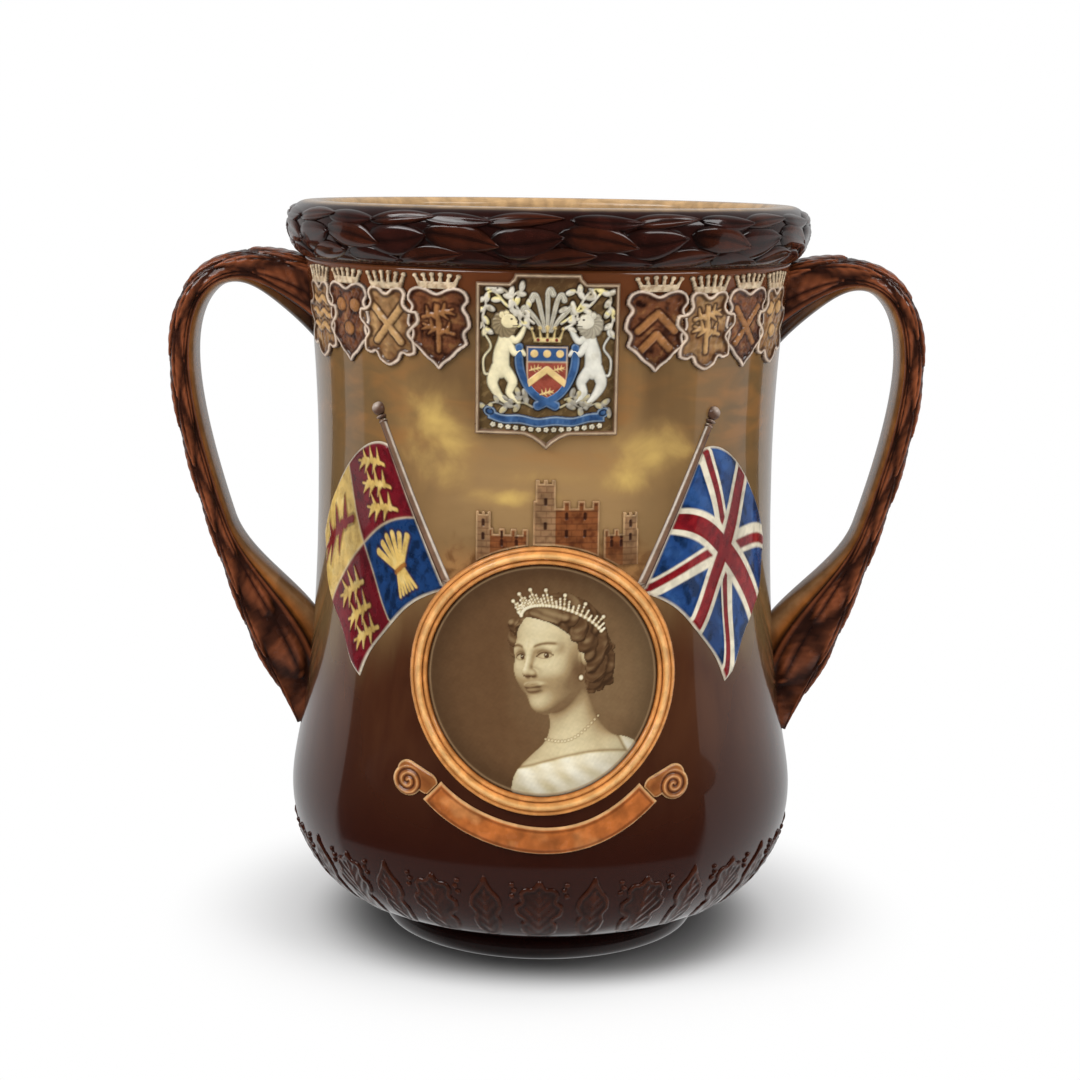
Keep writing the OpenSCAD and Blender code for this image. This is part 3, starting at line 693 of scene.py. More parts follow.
def smooth_line(points, closed=False, share=8):
    """Curve through the points."""
    p = np.asarray(points, float)
    before, after, beyond = (np.roll(p, 1, 0), np.roll(p, -1, 0), np.roll(p, -2, 0))
    if not closed:
        before[0], after[-1], beyond[-1], beyond[-2] = p[0], p[-1], p[-1], p[-1]
    t = (np.arange(share) / share)[None, :, None]
    a, b, c, d = (k[:, None, :] for k in (before, p, after, beyond))
    curve = (2 * a - 5 * b + 4 * c - d) * t ** 2 + (3 * b - a - 3 * c + d) * t ** 3
    line = 0.5 * (2 * b + (c - a) * t + curve)
    if closed:
        return line.reshape(-1, 2)
    return np.concatenate([line[:-1].reshape(-1, 2), p[-1:]])


def union(*distances):
    """Distance to the nearest of several outlines."""
    return np.minimum.reduce(distances)


def both_sides(right):
    """Closed outline from its right half, which starts and ends in the middle."""
    return right + [(-x, y) for x, y in right[::-1][1:-1]]


def dome(distance, reach):
    """Height from 0 at an outline to 1 at this depth inside it."""
    t = np.clip(-distance / reach, 0, 1)
    return np.sqrt(np.clip(1 - (1 - t) ** 2, 0, 1))


def cover(distance, soft=0.25):
    """Share of paint inside an outline with a soft edge."""
    return 1 - ease(distance, -soft, soft)


def bell(x, width, middle=0.0):
    """Bell curve of height 1."""
    return np.exp(-((x - middle) / width) ** 2)


def lay(paint, share, tint):
    """Paint with more paint brushed over it; a tuple is a screen colour."""
    tint = shade(*tint) if isinstance(tint, tuple) else tint
    return paint + (tint - paint) * np.asarray(share)[..., None]


def coats(paint, *more):
    """Paint with several coats over it, each given by its share and tint."""
    for share, tint in more:
        paint = lay(paint, share, tint)
    return paint


def primer(like, tint):
    """One colour all over a grid."""
    return lay(np.zeros(like.shape + (3,)), 1.0, tint)


def rough_field(u, v, scale, seed):
    """Smooth random field from -1 to 1 for uneven brushing."""
    rng = np.random.default_rng(seed)
    total = np.zeros(u.shape)
    for octave in range(3):
        turns = rng.uniform(0, 2 * pi, 6)
        phases = rng.uniform(0, 2 * pi, 6)
        size = scale / 1.9 ** octave
        for angle, phase in zip(turns, phases):
            along = u * cos(angle) + v * sin(angle)
            total += np.sin(along * 2 * pi / size + phase) / (octave + 1)
    return np.clip(total / 5, -1, 1)


def on_wall(u, v, lift, turn):
    """Points in front of the wall: u across a plane that faces turn degrees round the cup, v the height."""
    r = wall(v) + lift
    angle = radians(turn) + np.arcsin(np.clip(u / r, -1, 1))
    return np.stack([r * np.sin(angle), -r * np.cos(angle), v], -1)


def from_medal(u, v, turn):
    """Distance of a place on the wall from the middle of the medallion, seen from the front."""
    x, _, z = np.moveaxis(on_wall(u, v, 0, turn), -1, 0)
    return np.hypot(x, z - MEDAL_Z)


UNDER = -0.6


def relief_mesh(name, u, v, distance, height, paint, turn):
    """Closed mesh of the part of a patch inside its outline, with a smooth edge."""
    step = u[1, 0] - u[0, 0]
    slope_u, slope_v = np.gradient(distance, step)
    near = abs(distance) < step
    u = u - np.where(near, distance * slope_u, 0)
    v = v - np.where(near, distance * slope_v, 0)
    kept = distance < 0.5 * step
    index = np.arange(u.size).reshape(u.shape)
    whole = kept[:-1, :-1] & kept[1:, :-1] & kept[1:, 1:] & kept[:-1, 1:]
    cells = np.stack([index[:-1, :-1], index[1:, :-1], index[1:, 1:], index[:-1, 1:]], -1)[whole]
    used, cells = np.unique(cells, return_inverse=True)
    cells = cells.reshape(-1, 4)
    flat_u, flat_v, flat_h = (values.ravel()[used] for values in (u, v, height))
    under = on_wall(flat_u, flat_v, UNDER, turn)
    return shell(name, cells, on_wall(flat_u, flat_v, flat_h, turn), under, paint.reshape(-1, 3)[used])


def shell(name, cells, top, under, tint):
    """Closed mesh of a sheet, its underside and the skirt between their edges."""
    count = len(top)
    edges = np.concatenate([cells[:, [k, (k + 1) % 4]] for k in range(4)])
    keys = edges[:, 0].astype(np.int64) * count + edges[:, 1]
    back = edges[:, 1].astype(np.int64) * count + edges[:, 0]
    rim = edges[~np.isin(keys, back)]
    skirt = np.stack([rim[:, 1], rim[:, 0], rim[:, 0] + count, rim[:, 1] + count], -1)
    return new_mesh(name, np.concatenate([top, under]), [cells, cells[:, ::-1] + count, skirt],
                    np.concatenate([tint, tint]))


def sheet_shell(name, top, under, tint):
    """Closed mesh of a sheet given as a grid of points."""
    cells = grid_faces(*top.shape[:2])
    return shell(name, cells, *(values.reshape(-1, 3) for values in (top, under, tint)))


# The medallion and its ribbon

plaque_low, plaque_high = node_box("medallion_plaque")
frame_low, frame_high = node_box("medallion_frame")
MEDAL_Z = (frame_low[2] + frame_high[2]) / 2
MEDAL_R = (frame_high[2] - frame_low[2]) / 2
PLAQUE_R = (plaque_high[2] - plaque_low[2]) / 2


def ridge(x, middle, half):
    """Half circle of height 1."""
    return np.sqrt(np.clip(1 - ((x - middle) / half) ** 2, 0, 1))


def make_frame(amber):
    """Round moulding with three ridges."""
    across = np.linspace(0, 1, 46)
    width = MEDAL_R - PLAQUE_R
    height = 0.35 + 1.35 * ridge(across, 0.86, 0.13) + 2.3 * ridge(across, 0.52, 0.23)
    height += 1.3 * ridge(across, 0.16, 0.14)
    turns = np.linspace(0, 2 * pi, 320, endpoint=False)
    rho = PLAQUE_R + across * width
    section = np.concatenate([np.stack([rho, height], 1), [[MEDAL_R, UNDER], [PLAQUE_R, UNDER]]])
    r, h = section[:, 0][:, None], section[:, 1][:, None] + 0 * turns
    u, v = r * np.sin(turns), MEDAL_Z + r * np.cos(turns)
    points = on_wall(u, v, h, 0).reshape(-1, 3)
    rows, columns = u.shape
    faces = [grid_faces(rows, columns, True, True)]
    level = np.append(height, [0.3, 0.3])
    high = ease(level, 0.5, 2.2)
    crest = ease(level, 2.3, 2.7) * 0.6 + ease(np.append(across, [0, 0]), 0.93, 1.0) * 0.2
    tint = lay(np.tile(shade(162, 94, 42), (rows, 1)), high, colour("amber"))
    tint = lay(tint, crest, (238, 192, 128))
    worn = 1 + 0.1 * rough_field(u, v, 18, 5).reshape(-1)
    mesh = new_mesh("medallion_frame_looks", points, faces, np.repeat(tint, columns, 0) * worn[:, None])
    add_piece(mesh, "medallion_frame", amber)


def make_ribbon(amber):
    """Bare ribbon under the frame with its rolled ends."""
    inner, width = MEDAL_R + 4, 9.0
    sweep = 43.0
    turns = np.radians(np.linspace(-sweep, sweep, 261))[:, None]
    across = np.linspace(0, 1, 25)[None, :]
    rho = inner + width * across + 0.315 * np.sin(6 * turns)
    u, v = rho * np.sin(turns), MEDAL_Z - rho * np.cos(turns)
    edge = np.minimum(across, 1 - across) * width
    end = (radians(sweep) - abs(turns)) * (inner + width / 2)
    lip = np.minimum(edge, end)
    bulge = 0.25 * np.sin(pi * across) + 0.14 * rough_field(u, v, 16, 8)
    height = 0.25 + 1.25 * ease(lip, 0, 0.7) + bulge * ease(lip, 0.2, 1.4)
    height -= 0.22 * bell(lip, 0.3, 1.25)
    height = np.minimum(height, 1.75)
    tint = coats(
        primer(u, (178, 100, 46)),
        (0.55 * ease(rough_field(u, v, 13, 9), 0.0, 0.7), (126, 70, 32)),
        (0.5 * ease(-rough_field(u, v, 20, 10), 0.1, 0.8), (196, 136, 82)),
        (0.8 * bell(lip, 0.35, 1.25), (104, 52, 22)),
        (0.85 * (1 - ease(lip, 0.3, 0.75)), (222, 178, 124)))
    mesh = sheet_shell("ribbon_band_looks", on_wall(u, v, height, 0), on_wall(u, v, UNDER, 0), tint)
    add_piece(mesh, "ribbon_band", amber)
    fold = radians(sweep + 3)
    corner = (inner + width / 2) * np.array([sin(fold), -cos(fold)]) + [0, MEDAL_Z]
    tail = corner + width * np.array([0.75, 0.35])
    roll = tail - [0, width * 0.35]
    for side, name in ((-1, "ribbon_left_curl"), (1, "ribbon_right_curl")):
        low, high = node_box(name)
        u, v = patch((low[0] - 1, low[2] - 1), (high[0] + 1, high[2] + 1), 0.24)
        x = u * side
        strip = stroke_distance(x, v, [corner, tail], width * 0.8)
        coil = spot_distance(x, v, roll, 5.0)
        angle = np.arctan2(v - roll[1], x - roll[0])
        from_middle = np.hypot(x, v - MEDAL_Z)
        clear = radians(sweep) + 0.006 - np.arctan2(abs(x), MEDAL_Z - v)
        outside = np.maximum(np.minimum(strip, coil), clear * from_middle)
        outside = np.maximum(outside, MEDAL_R + 0.3 - from_middle)
        pitch = 2.2
        turns_in = np.hypot(x - roll[0], v - roll[1]) - angle / (2 * pi) * pitch
        groove = np.cos(turns_in / pitch * 2 * pi)
        coiled = cover(coil, 0.3)
        height = np.clip(0.25 + 0.85 * dome(outside, 1.0) + coiled * 0.28 * groove, 0.1, 1.4)
        tint = coats(
            primer(u, (150, 90, 44)),
            (coiled * ease(-groove, 0.1, 0.8) * 0.85, (70, 30, 12)),
            (coiled * ease(groove, 0.5, 1.0) * 0.7, (206, 152, 98)),
            (0.7 * (1 - coiled) * ease(strip, -1.2, -3.0), (116, 62, 28)),
            (0.8 * (1 - ease(-outside, 0.2, 0.6)), (222, 178, 124)))
        mesh = relief_mesh(name + "_looks", u, v, outside, height, tint, 0)
        add_piece(mesh, name, amber)


# The flags, in the plane that faces their middle

FLAG_TURN = 47.0
POLE_TOP_Z = 193.0
HOIST_TOP = np.array([-MEDAL_R * 0.28, POLE_TOP_Z - 9])
HOIST_LOW = np.array([-MEDAL_R * 0.78, MEDAL_Z + MEDAL_R * 0.64])
FLY_TOP = np.array([MEDAL_R * 0.71, MEDAL_Z + MEDAL_R * 0.87])
FLY_LOW = np.array([MEDAL_R * 0.04, MEDAL_Z - MEDAL_R * 0.13])
FLAG_WIDE, FLAG_TALL = 57.0, 51.0


def edge_curve(start, heading, coming, end, t):
    """One edge of the flag; heading and coming are set off from its ends, in radii of the medallion."""
    return bezier(start, start + MEDAL_R * np.array(heading), end + MEDAL_R * np.array(coming), end, t)


def flag_sheet(rows, columns):
    """Grid of the flag: first axis from hoist to fly, second from the lower edge to the upper one."""
    p = np.linspace(0, 1, rows)[:, None]
    q = np.linspace(0, 1, columns)[None, :]
    start = HOIST_TOP + np.array([1.6, 0.4])
    low_start = HOIST_LOW + np.array([1.7, -0.3])
    upper = edge_curve(start, (0.27, 0.13), (-0.22, 0.47), FLY_TOP, p[:, 0])[:, None]
    lower = edge_curve(low_start, (0.36, -0.13), (-0.18, 0.36), FLY_LOW, p[:, 0])[:, None]
    hoist = (low_start + (start - low_start) * q[0][:, None])[None]
    fly = edge_curve(FLY_LOW, (0.27, 0.22), (0.02, -0.27), FLY_TOP, q[0])[None]
    pp, qq = p[..., None], q[..., None]
    corner = (1 - pp) * ((1 - qq) * low_start + qq * start) + pp * ((1 - qq) * FLY_LOW + qq * FLY_TOP)
    place = (1 - qq) * lower + qq * upper + (1 - pp) * hoist + pp * fly - corner
    flutter = 1.3 * pp ** 2 * np.sin(2 * pi * (1.9 * qq + 0.1)) * np.array([1.0, -0.15])
    ripple = 1.1 * (1 - qq) * np.sin(2 * pi * 1.4 * pp) * pp * np.array([0.3, 1.0])
    place = place - 0.9 * pp * np.array([1.0, 0.0])
    place = place + flutter * (1 - (2 * qq - 1) ** 8) + ripple * (1 - pp ** 8)
    return p + 0 * q, q + 0 * p, place[..., 0], place[..., 1]


def cloth_fold(p, q):
    """Main wave of the cloth from -1 to 1."""
    return np.sin(2 * pi * (p * 1.25 + q * 0.3 - 0.1))


def cloth_height(p, q, lines):
    """Waves of the cloth with its raised outlines."""
    edge = union(p, 1 - p, q, 1 - q)
    wave = 0.34 * cloth_fold(p, q) + 0.14 * np.sin(2 * pi * (p * 2.6 - q * 0.7))
    return 0.3 + ease(edge, 0, 0.03) * (0.62 + 0.9 * wave) * 0.9 + 0.16 * lines


def crossed_cloth(x, y):
    """Red, white and blue crosses over the whole flag."""
    slant = hypot(FLAG_WIDE, FLAG_TALL)
    first = (x * FLAG_TALL - y * FLAG_WIDE) / slant
    second = (x * FLAG_TALL + y * FLAG_WIDE) / slant
    water = rough_field(x, y, 16, 21)
    fine = rough_field(x, y, 5, 22)
    blue = lay(primer(x, colour("blue")), 0.85 * ease(water + 0.4 * fine, 0.0, 0.6), (8, 34, 66))
    blue = lay(blue, 0.7 * ease(-water + 0.3 * fine, 0.1, 0.8), (46, 84, 138))
    white = shade(222, 212, 188)
    red = lay(primer(x, colour("red")), 0.6 * ease(fine + water, 0.1, 1.0), (88, 8, 18))
    red = lay(red, 0.35 * ease(-fine - water, 0.2, 1.1), (158, 44, 40))
    band = np.minimum(abs(first), abs(second)) - 3.3
    shift = 0.75 * np.sign(x)
    strip = np.minimum(np.where(x * y > 0, abs(first - shift), 99),
                       np.where(x * y < 0, abs(second + shift), 99)) - 1.35
    cross = np.minimum(abs(x), abs(y))
    wide, narrow = 4.6, 2.75
    paint = coats(
        blue,
        (cover(band, 0.2), white),
        (cover(strip, 0.2), red),
        (cover(cross - wide, 0.2), white),
        (cover(cross - narrow, 0.2), red))
    lines = np.maximum(bell(cross, 0.5, narrow), bell(cross, 0.5, wide))
    return paint, np.maximum(lines, bell(band, 0.5) * (cross > wide))


def sprig_charge(x, y, at, size):
    """Distance to a small sprig: a bent stem with narrow pointed leaves."""
    stem = smooth_line([(-1.0, -0.35), (-0.3, -0.12), (0.35, 0.0), (1.0, 0.3)]) * size + at
    far = stroke_distance(x, y, stem, 0.2 * size, 0.1 * size)
    for root, tip in (((-0.6, -0.2), (-0.75, 0.45)), ((-0.1, -0.05), (-0.15, 0.62)),
                      ((0.35, 0.0), (0.5, 0.68)), ((-0.35, -0.15), (0.05, -0.62)),
                      ((0.2, -0.02), (0.68, -0.42)), ((0.6, 0.1), (1.1, -0.1))):
        middle = (0.55 * root[0] + 0.45 * tip[0], 0.6 * root[1] + 0.4 * tip[1])
        leaf = np.array([root, middle, tip]) * size + at
        far = np.minimum(far, stroke_distance(x, y, leaf, 0.34 * size, 0.04 * size))
    return far


def quartered_cloth(x, y):
    """Red, gold and blue quarters with leafy sprigs and a sheaf."""
    east, north = FLAG_WIDE / 4, FLAG_TALL / 4
    water = rough_field(x, y, 14, 31)
    fine = rough_field(x, y, 4.5, 32)
    red = lay(primer(x, (110, 16, 28)), 0.6 * ease(water + fine, 0.0, 0.9), (74, 10, 20))
    gold = lay(primer(x, colour("gold")), 0.5 * ease(water - fine, 0.1, 1.0), (158, 122, 58))
    gold = lay(gold, 0.4 * ease(-water + fine, 0.3, 1.0), (226, 204, 140))
    blue = lay(primer(x, (22, 54, 100)), 0.8 * ease(water + fine, -0.1, 0.8), (8, 26, 52))
    at_fly, at_top = x > 0, y > 0
    in_red, in_gold, in_blue = at_fly != at_top, at_fly & at_top, ~at_fly & ~at_top
    paint = np.where(in_red[..., None], red, np.where(in_blue[..., None], blue, gold))
    sprigs = union(*[sprig_charge(x, y, (side * east, -side * north + row * 7.4), 7.2)
                     for row in (-1, 0, 1) for side in (-1, 1)])
    branch = sprig_charge(x, y, (east, north), 11.5)
    stalks = []
    for spread in (-0.85, -0.5, -0.17, 0.17, 0.5, 0.85):
        stalk = [(spread * 9.5, 9.5 - abs(spread) * 3), (spread * 1.5, -1.5), (spread * 5, -9)]
        stalks.append(stroke_distance(x + east, y + north, stalk, 2.2, 1.2))
    sheaf = union(*stalks)
    tie = stroke_distance(x + east, y + north, [(-2.6, -1.2), (2.6, -1.8)], 1.6)
    drawn = np.where(in_red, sprigs, np.where(in_gold, branch, np.where(in_blue, sheaf, 9.0)))
    seam = np.minimum(abs(x), abs(y))
    paint = coats(
        paint,
        (in_red * cover(sprigs), gold * 0.96),
        (in_gold * cover(branch), (118, 26, 30)),
        (in_blue * cover(sheaf), gold),
        (in_blue * cover(tie), (150, 96, 40)),
        (0.55 * bell(drawn, 0.35, 0.35), (56, 14, 14)),
        (0.7 * bell(seam, 0.35), (206, 186, 150)))
    return paint, np.maximum(0.5 * np.maximum(bell(drawn, 0.45), bell(seam, 0.5)), drawn < 0)


def make_flag(side, name, cloth, material):
    """One flag with its cloth pattern, mirrored for the left side."""
    p, q, u, v = flag_sheet(165, 150)
    x, y = (p - 0.5) * FLAG_WIDE, (q - 0.5) * FLAG_TALL
    paint, lines = cloth(x, y)
    inset = np.minimum(FLAG_WIDE / 2 - abs(x), FLAG_TALL / 2 - abs(y))
    paint = lay(paint, 0.9 * (1 - ease(inset, 0.35, 0.95)), (208, 196, 174))
    # Painted shade: the cloth is darker in the troughs of its waves.
    paint = paint * (1 - 0.3 * ease(-cloth_fold(p, q), 0.1, 1.0))[..., None]
    clear = from_medal(u, v, FLAG_TURN) >= MEDAL_R + 0.4
    height = np.where(clear, np.minimum(cloth_height(p, q, lines), 1.6), 0.05)
    mirror = np.array([side, 1, 1])
    top, under = (on_wall(u, v, lift, FLAG_TURN) * mirror for lift in (height, UNDER))
    add_piece(sheet_shell(name + "_looks", top, under, paint), name, material)


def make_pole(side, name, material):
    """Flagpole with a groove along it, a ball and two collars; the ball and collars carry a painted
    highlight.
    """
    way = (HOIST_TOP - HOIST_LOW) / (HOIST_TOP[1] - HOIST_LOW[1])
    foot = HOIST_LOW - 0.2 * (HOIST_TOP - HOIST_LOW)
    top = HOIST_TOP + 9 * way
    heading = way / np.linalg.norm(way)
    normal = np.array([heading[1], -heading[0]])
    mirror = np.array([side, 1, 1])
    along = np.linspace(0, 1, 90)[:, None]
    a = np.linspace(0, pi, 15) + 0 * along
    half = 1.2
    place = foot + along[..., None] * (top - foot) - normal * (half * np.cos(a))[..., None]
    u, v = place[..., 0], place[..., 1]
    height = 1.75 * np.sin(a) ** 0.8 - 0.35 * bell(a, 0.22, 1.9)
    hidden = from_medal(u, v, FLAG_TURN) < MEDAL_R + 0.2
    height = np.where(hidden, 0.02, np.maximum(height, 0.02))
    tint = coats(
        primer(u, (196, 180, 160)),
        (ease(height, 0.7, 1.3), (112, 84, 66)),
        (0.85 * bell(a, 0.25, 1.9), (54, 28, 20)),
        (0.85 * (1 - ease(np.sin(a), 0.05, 0.25)), (58, 32, 20)))
    rod, under = (on_wall(u, v, lift, FLAG_TURN) * mirror for lift in (height, UNDER))
    parts = [sheet_shell(name + "_rod", rod, under, tint)]
    b = np.linspace(0, pi, 17)[1:-1, None]
    c = np.linspace(0, 2 * pi, 28, endpoint=False)[None, :]
    for drop, size, flat in ((3.6, 2.35, 1.0), (0.9, 1.9, 0.35), (-0.7, 1.6, 0.3)):
        centre = top + drop * way
        ring, lift = size * np.sin(b), size * flat * np.cos(b)
        spot = centre + (ring * np.cos(c))[..., None] * normal + (lift + 0 * c)[..., None] * heading
        ends = centre + np.array([[1], [-1]]) * size * flat * heading
        spots = np.concatenate([spot.reshape(-1, 2), ends])
        rise = np.append(0.2 + ring * np.sin(c), [0.2, 0.2])
        # Painted highlight and shade: each ball is pale on the side that faces out of the wall and upward,
        # dark elsewhere.
        painted_highlight = np.append(ease(np.sin(c) + lift / size, 0.5, 1.5), [0.5, 0])
        points = on_wall(spots[:, 0], spots[:, 1], rise, FLAG_TURN) * mirror
        tint = lay(primer(painted_highlight, (92, 66, 52)), painted_highlight, (190, 172, 158))
        parts.append(new_mesh(name + "_ball", points, tube_faces(b.size, c.size), tint))
    add_piece(join(name + "_looks", parts), name, material)


# The border of leaves round the bowl, as right halves of outlines

BROAD_LEAF = [(0, 0), (3.4, 0.4), (5.8, 3.2), (6.4, 7.2), (5.2, 9.2), (7.8, 11.6), (8.4, 15.4), (6.4, 17.4),
              (7.0, 20.4), (5.0, 22.8), (2.4, 23.0), (0, 26)]
NARROW_LEAF = [(0, 0), (2.6, 1), (4.4, 4.6), (5.0, 8.6), (4.2, 11.2), (5.8, 14.4), (5.2, 18.4), (3.0, 21.4),
               (1.6, 24), (0, 27.2)]
BERRIES = ((8.6, 21.8), (9.5, 24.0), (9.4, 19.6))


def border_motif(name, half_outline, berries, seed):
    """One leaf of the border in low relief on the bowl, with raised edges, midrib, veins and berries."""
    low, high = node_box("leaf_border")
    u, v = patch((-10.8, low[2] - 0.6), (10.8, high[2] + 0.6), 0.55)
    y = v - low[2] - 0.3
    leaf = polygon_distance(u, y, smooth_line(both_sides(half_outline), True, 4))
    fruit = union(0 * u + 9, *[spot_distance(abs(u), y, at, 1.0) for at in berries])
    outside = np.minimum(leaf, fruit)
    edge = bell(leaf, 0.6, -0.9)
    rib = bell(u, 0.6) * ease(-leaf, 0.4, 1.2)
    veins = np.cos(2 * pi * (y * 0.24 - abs(u) * 0.3)) * ease(-leaf, 1.0, 2.6)
    height = 0.06 + 0.28 * dome(leaf, 2.0) + 0.42 * edge + 0.3 * rib + 0.16 * veins
    height = np.where(fruit < leaf, 0.1 + 0.75 * dome(fruit, 0.9), height)
    tones = rough_field(u, v, 9, seed)
    raised = np.maximum(np.maximum(edge, rib), (fruit < leaf) * dome(fruit, 0.7))
    paint = coats(
        primer(u, (50, 20, 9)),
        (0.5 * ease(veins + tones, 0.2, 1.2), (62, 28, 15)),
        (0.6 * raised, (70, 34, 19)),
        (0.7 * bell(leaf, 0.5, -2.0), (22, 6, 3)))
    return relief_mesh(name, u, v, outside, np.clip(height, 0.05, 1.0), paint, 0)


def make_border(dark):
    """Broad and narrow leaves in turn round the bowl."""
    broad = border_motif("border_broad_leaf", BROAD_LEAF, BERRIES, 15)
    narrow = border_motif("border_narrow_leaf", NARROW_LEAF, (), 16)
    count = 2 * (sizes().border_leaves // 2)
    grown = rings("leaf_border_grown", [(broad, narrow, count, 0.0, 0.0, 1)], dark)
    add_piece(join("leaf_border_looks", grown), "leaf_border", dark)


# The handles follow the same two curves as their solids

STRAP_THICK = 11.0
STRAP_WIDE = 28.0
LANES = ((0, 30, 0.0), (42, 22, 0.15), (-42, 22, 0.15), (76, 22, 0.55), (-76, 22, 0.55), (102, 16, 0.1),
         (-102, 16, 0.1))


def handle_path(count):
    """Points of the strap's middle line in the handle's plane, and their shares of the arch and the run."""
    reach = node_box("right_handle")[1][0]
    out_r = reach - STRAP_THICK / 2
    out_z = NECK_Z - 36
    root_z = NECK_Z - STRAP_THICK / 2 - 1
    root_r = float(wall(root_z))
    tip_z = 72.0
    tip_r = float(wall(tip_z)) + 0.5
    fall = out_z - tip_z
    stand = reach - 82.6
    arch = np.array([(root_r - 3.25, root_z), (root_r + stand * 0.36, root_z + STRAP_THICK * 0.68),
                     (out_r, NECK_Z), (out_r, out_z)])
    run = np.array([(out_r, out_z), (out_r, out_z - fall * 0.23),
                    (tip_r + (out_r - tip_r) * 0.5, tip_z + fall * 0.38), (tip_r, tip_z)])
    way = np.linspace(0, 1, count)
    line = np.concatenate([bezier(*arch, way), bezier(*run, way)[1:]])
    on_arch = np.concatenate([way, np.ones(count - 1)])
    on_run = np.concatenate([np.zeros(count), way[1:]])
    return line, on_arch, on_run


def leaf_lane(along, beta, middle, half, period, start):
    """Height from 0 to 1 of leaves that follow each other along a lane of the strap, and their ribs."""
    s = np.mod((along + start) / period, 1.0)
    width = half * np.maximum(np.sin(pi * np.clip(s, 0, 1) ** 0.75) ** 0.7, 0.02)
    t = (beta - middle) / width
    inside = np.clip(1 - t ** 2, 0, 1)
    rise = 0.45 + 0.55 * ease(s, 0.0, 0.6)
    rib = bell(t, 0.14) * (inside > 0)
    veins = 0.1 * np.cos(2 * pi * (s * 6 - abs(t) * 1.2)) * inside
    return np.where(inside > 0, (inside ** 0.4) * rise + veins, 0), rib


def handle_surface():
    """Points, faces and paint of the right handle."""
    line, on_arch, on_run = handle_path(110)
    sides = 88
    heading = np.gradient(line, axis=0)
    heading /= np.linalg.norm(heading, axis=1)[:, None]
    outward = np.stack([-heading[:, 1], heading[:, 0]], 1)
    gone = np.concatenate([[0], np.cumsum(np.linalg.norm(np.diff(line, axis=0), axis=1))])
    thick, curl_depth = STRAP_THICK / 2, 25.0
    curl = (1 - np.minimum(on_arch / 0.62, 1)) ** 2 * (on_run == 0)
    inner = thick + (curl_depth - thick) * curl + 3.4 * thick * ease(on_run, 0.5, 0.84)
    outer = thick * (1 - 0.8 * ease(on_run, 0.8, 1))
    taper = (1 - 0.14 * ease(on_run, 0.1, 0.6)) * (1 - 0.78 * ease(on_run, 0.62, 1) ** 1.5)
    half = STRAP_WIDE / 2 * taper
    a = np.arange(sides) * 2 * pi / sides
    n, c = np.sin(a), np.cos(a)
    beta, along = np.meshgrid(np.degrees(np.arctan2(c, n)), gone)
    period = sizes().handle_leaf / MM
    height = np.zeros(beta.shape)
    ribs = np.zeros(beta.shape)
    for middle, lane_half, start in LANES:
        raised, rib = leaf_lane(along, beta, middle, lane_half, period, start * period)
        ribs = np.where(raised > height, rib, ribs)
        height = np.maximum(height, raised)
    side = abs(beta)
    face = ease(side, 123, 132)
    relief = (height - 0.45 * ribs) * (1 - ease(side, 110, 115)) + 0.95 * bell(side, 4.0, 119)
    carved, smooth = 1.5 * (np.minimum(relief, 1) - 1.02), -1.5 * (1 - ease(side, 128, 154) * 0.5)
    press_in = np.where(side < 128, carved, smooth) * (1 - 0.8 * ease(on_run, 0.88, 1))[:, None]
    deep = np.where(n > 0, outer[:, None], inner[:, None]) * np.sign(n) * abs(n) ** 0.72 + press_in * n
    broad = half[:, None] * np.sign(c) * abs(c) ** 0.72 + press_in * c
    turned = ease(on_arch, 0.0, 0.42)[:, None]
    downward = outward * turned + (1 - turned) * np.array([0.0, 1.0])
    lean = np.where((n > 0)[None, :, None], outward[:, None, :], downward[:, None, :])
    at = line[:, None, :] + deep[..., None] * lean
    points = np.stack([at[..., 0], broad, at[..., 1]], -1).reshape(-1, 3)
    dark = coats(
        primer(side, (50, 23, 13)),
        # Painted highlight: the leaves are lighter the higher their relief stands.
        (ease(relief, 0.45, 1.1), (144, 78, 46)),
        (0.6 * ribs * (1 - face), (34, 12, 7)),
        (0.8 * bell(side, 3.5, 125), (24, 8, 4)))
    # Painted shade: the inner face is darkened under the curl where the handle's top meets the body.
    under = curl ** 0.5 * (1 - ease(on_arch, 0.3, 0.62))
    tan = coats(
        primer(side, (158, 116, 76)),
        (1 - ease(side, 128, 148), (170, 100, 42)),
        (under[:, None], (26, 10, 7)),
        (ease(on_run, 0.76, 0.88)[:, None], (60, 26, 14)))
    paint = lay(dark, face, tan)
    ends = np.stack([line[[0, -1], 0], [0, 0], line[[0, -1], 1]], -1)
    all_paint = np.concatenate([paint.reshape(-1, 3), paint[0, :1], paint[-1, :1]])
    return np.concatenate([points, ends]), tube_faces(len(line), sides), all_paint


def make_handles():
    """Both handles; the left one is the right one turned half round."""
    material = painted_glaze("handle_glaze", 0.26, 0.5, 130.0, 0.3)
    points, faces, paint = handle_surface()
    for name, turn in (("right_handle", 1), ("left_handle", -1)):
        turned = points * np.array([turn, turn, 1])
        add_piece(new_mesh(name + "_looks", turned, faces, paint), name, material)


# The arms panel and its figures

panel_low, panel_high = node_box("arms_panel")
PANEL_HALF = panel_high[0]
PANEL_TOP = panel_high[2]
PANEL_RISE = 26.5
PANEL_MID = PANEL_TOP - PANEL_RISE
PANEL_LIFT = 1.0
FIGURE_LIFT = 1.2


def panel_outline():
    """Panel with stepped upper corners and a point below."""
    w, top, low = PANEL_HALF, PANEL_TOP, PANEL_MID - PANEL_RISE
    ear, drop = w * 0.54, 3.0
    half = [(w, top - drop), (w, low), (w * 0.36, low), (w * 0.3, low - 0.2), (w * 0.2, low - 1.2),
            (w * 0.1, low - 2.8), (0, panel_low[2])]
    step = [(w - ear, top), (w - ear + 0.5, top - 1.6), (w - ear + 1.9, top - drop)]
    right = step + half
    return right + [(-x, y) for x, y in right[::-1][1:]]


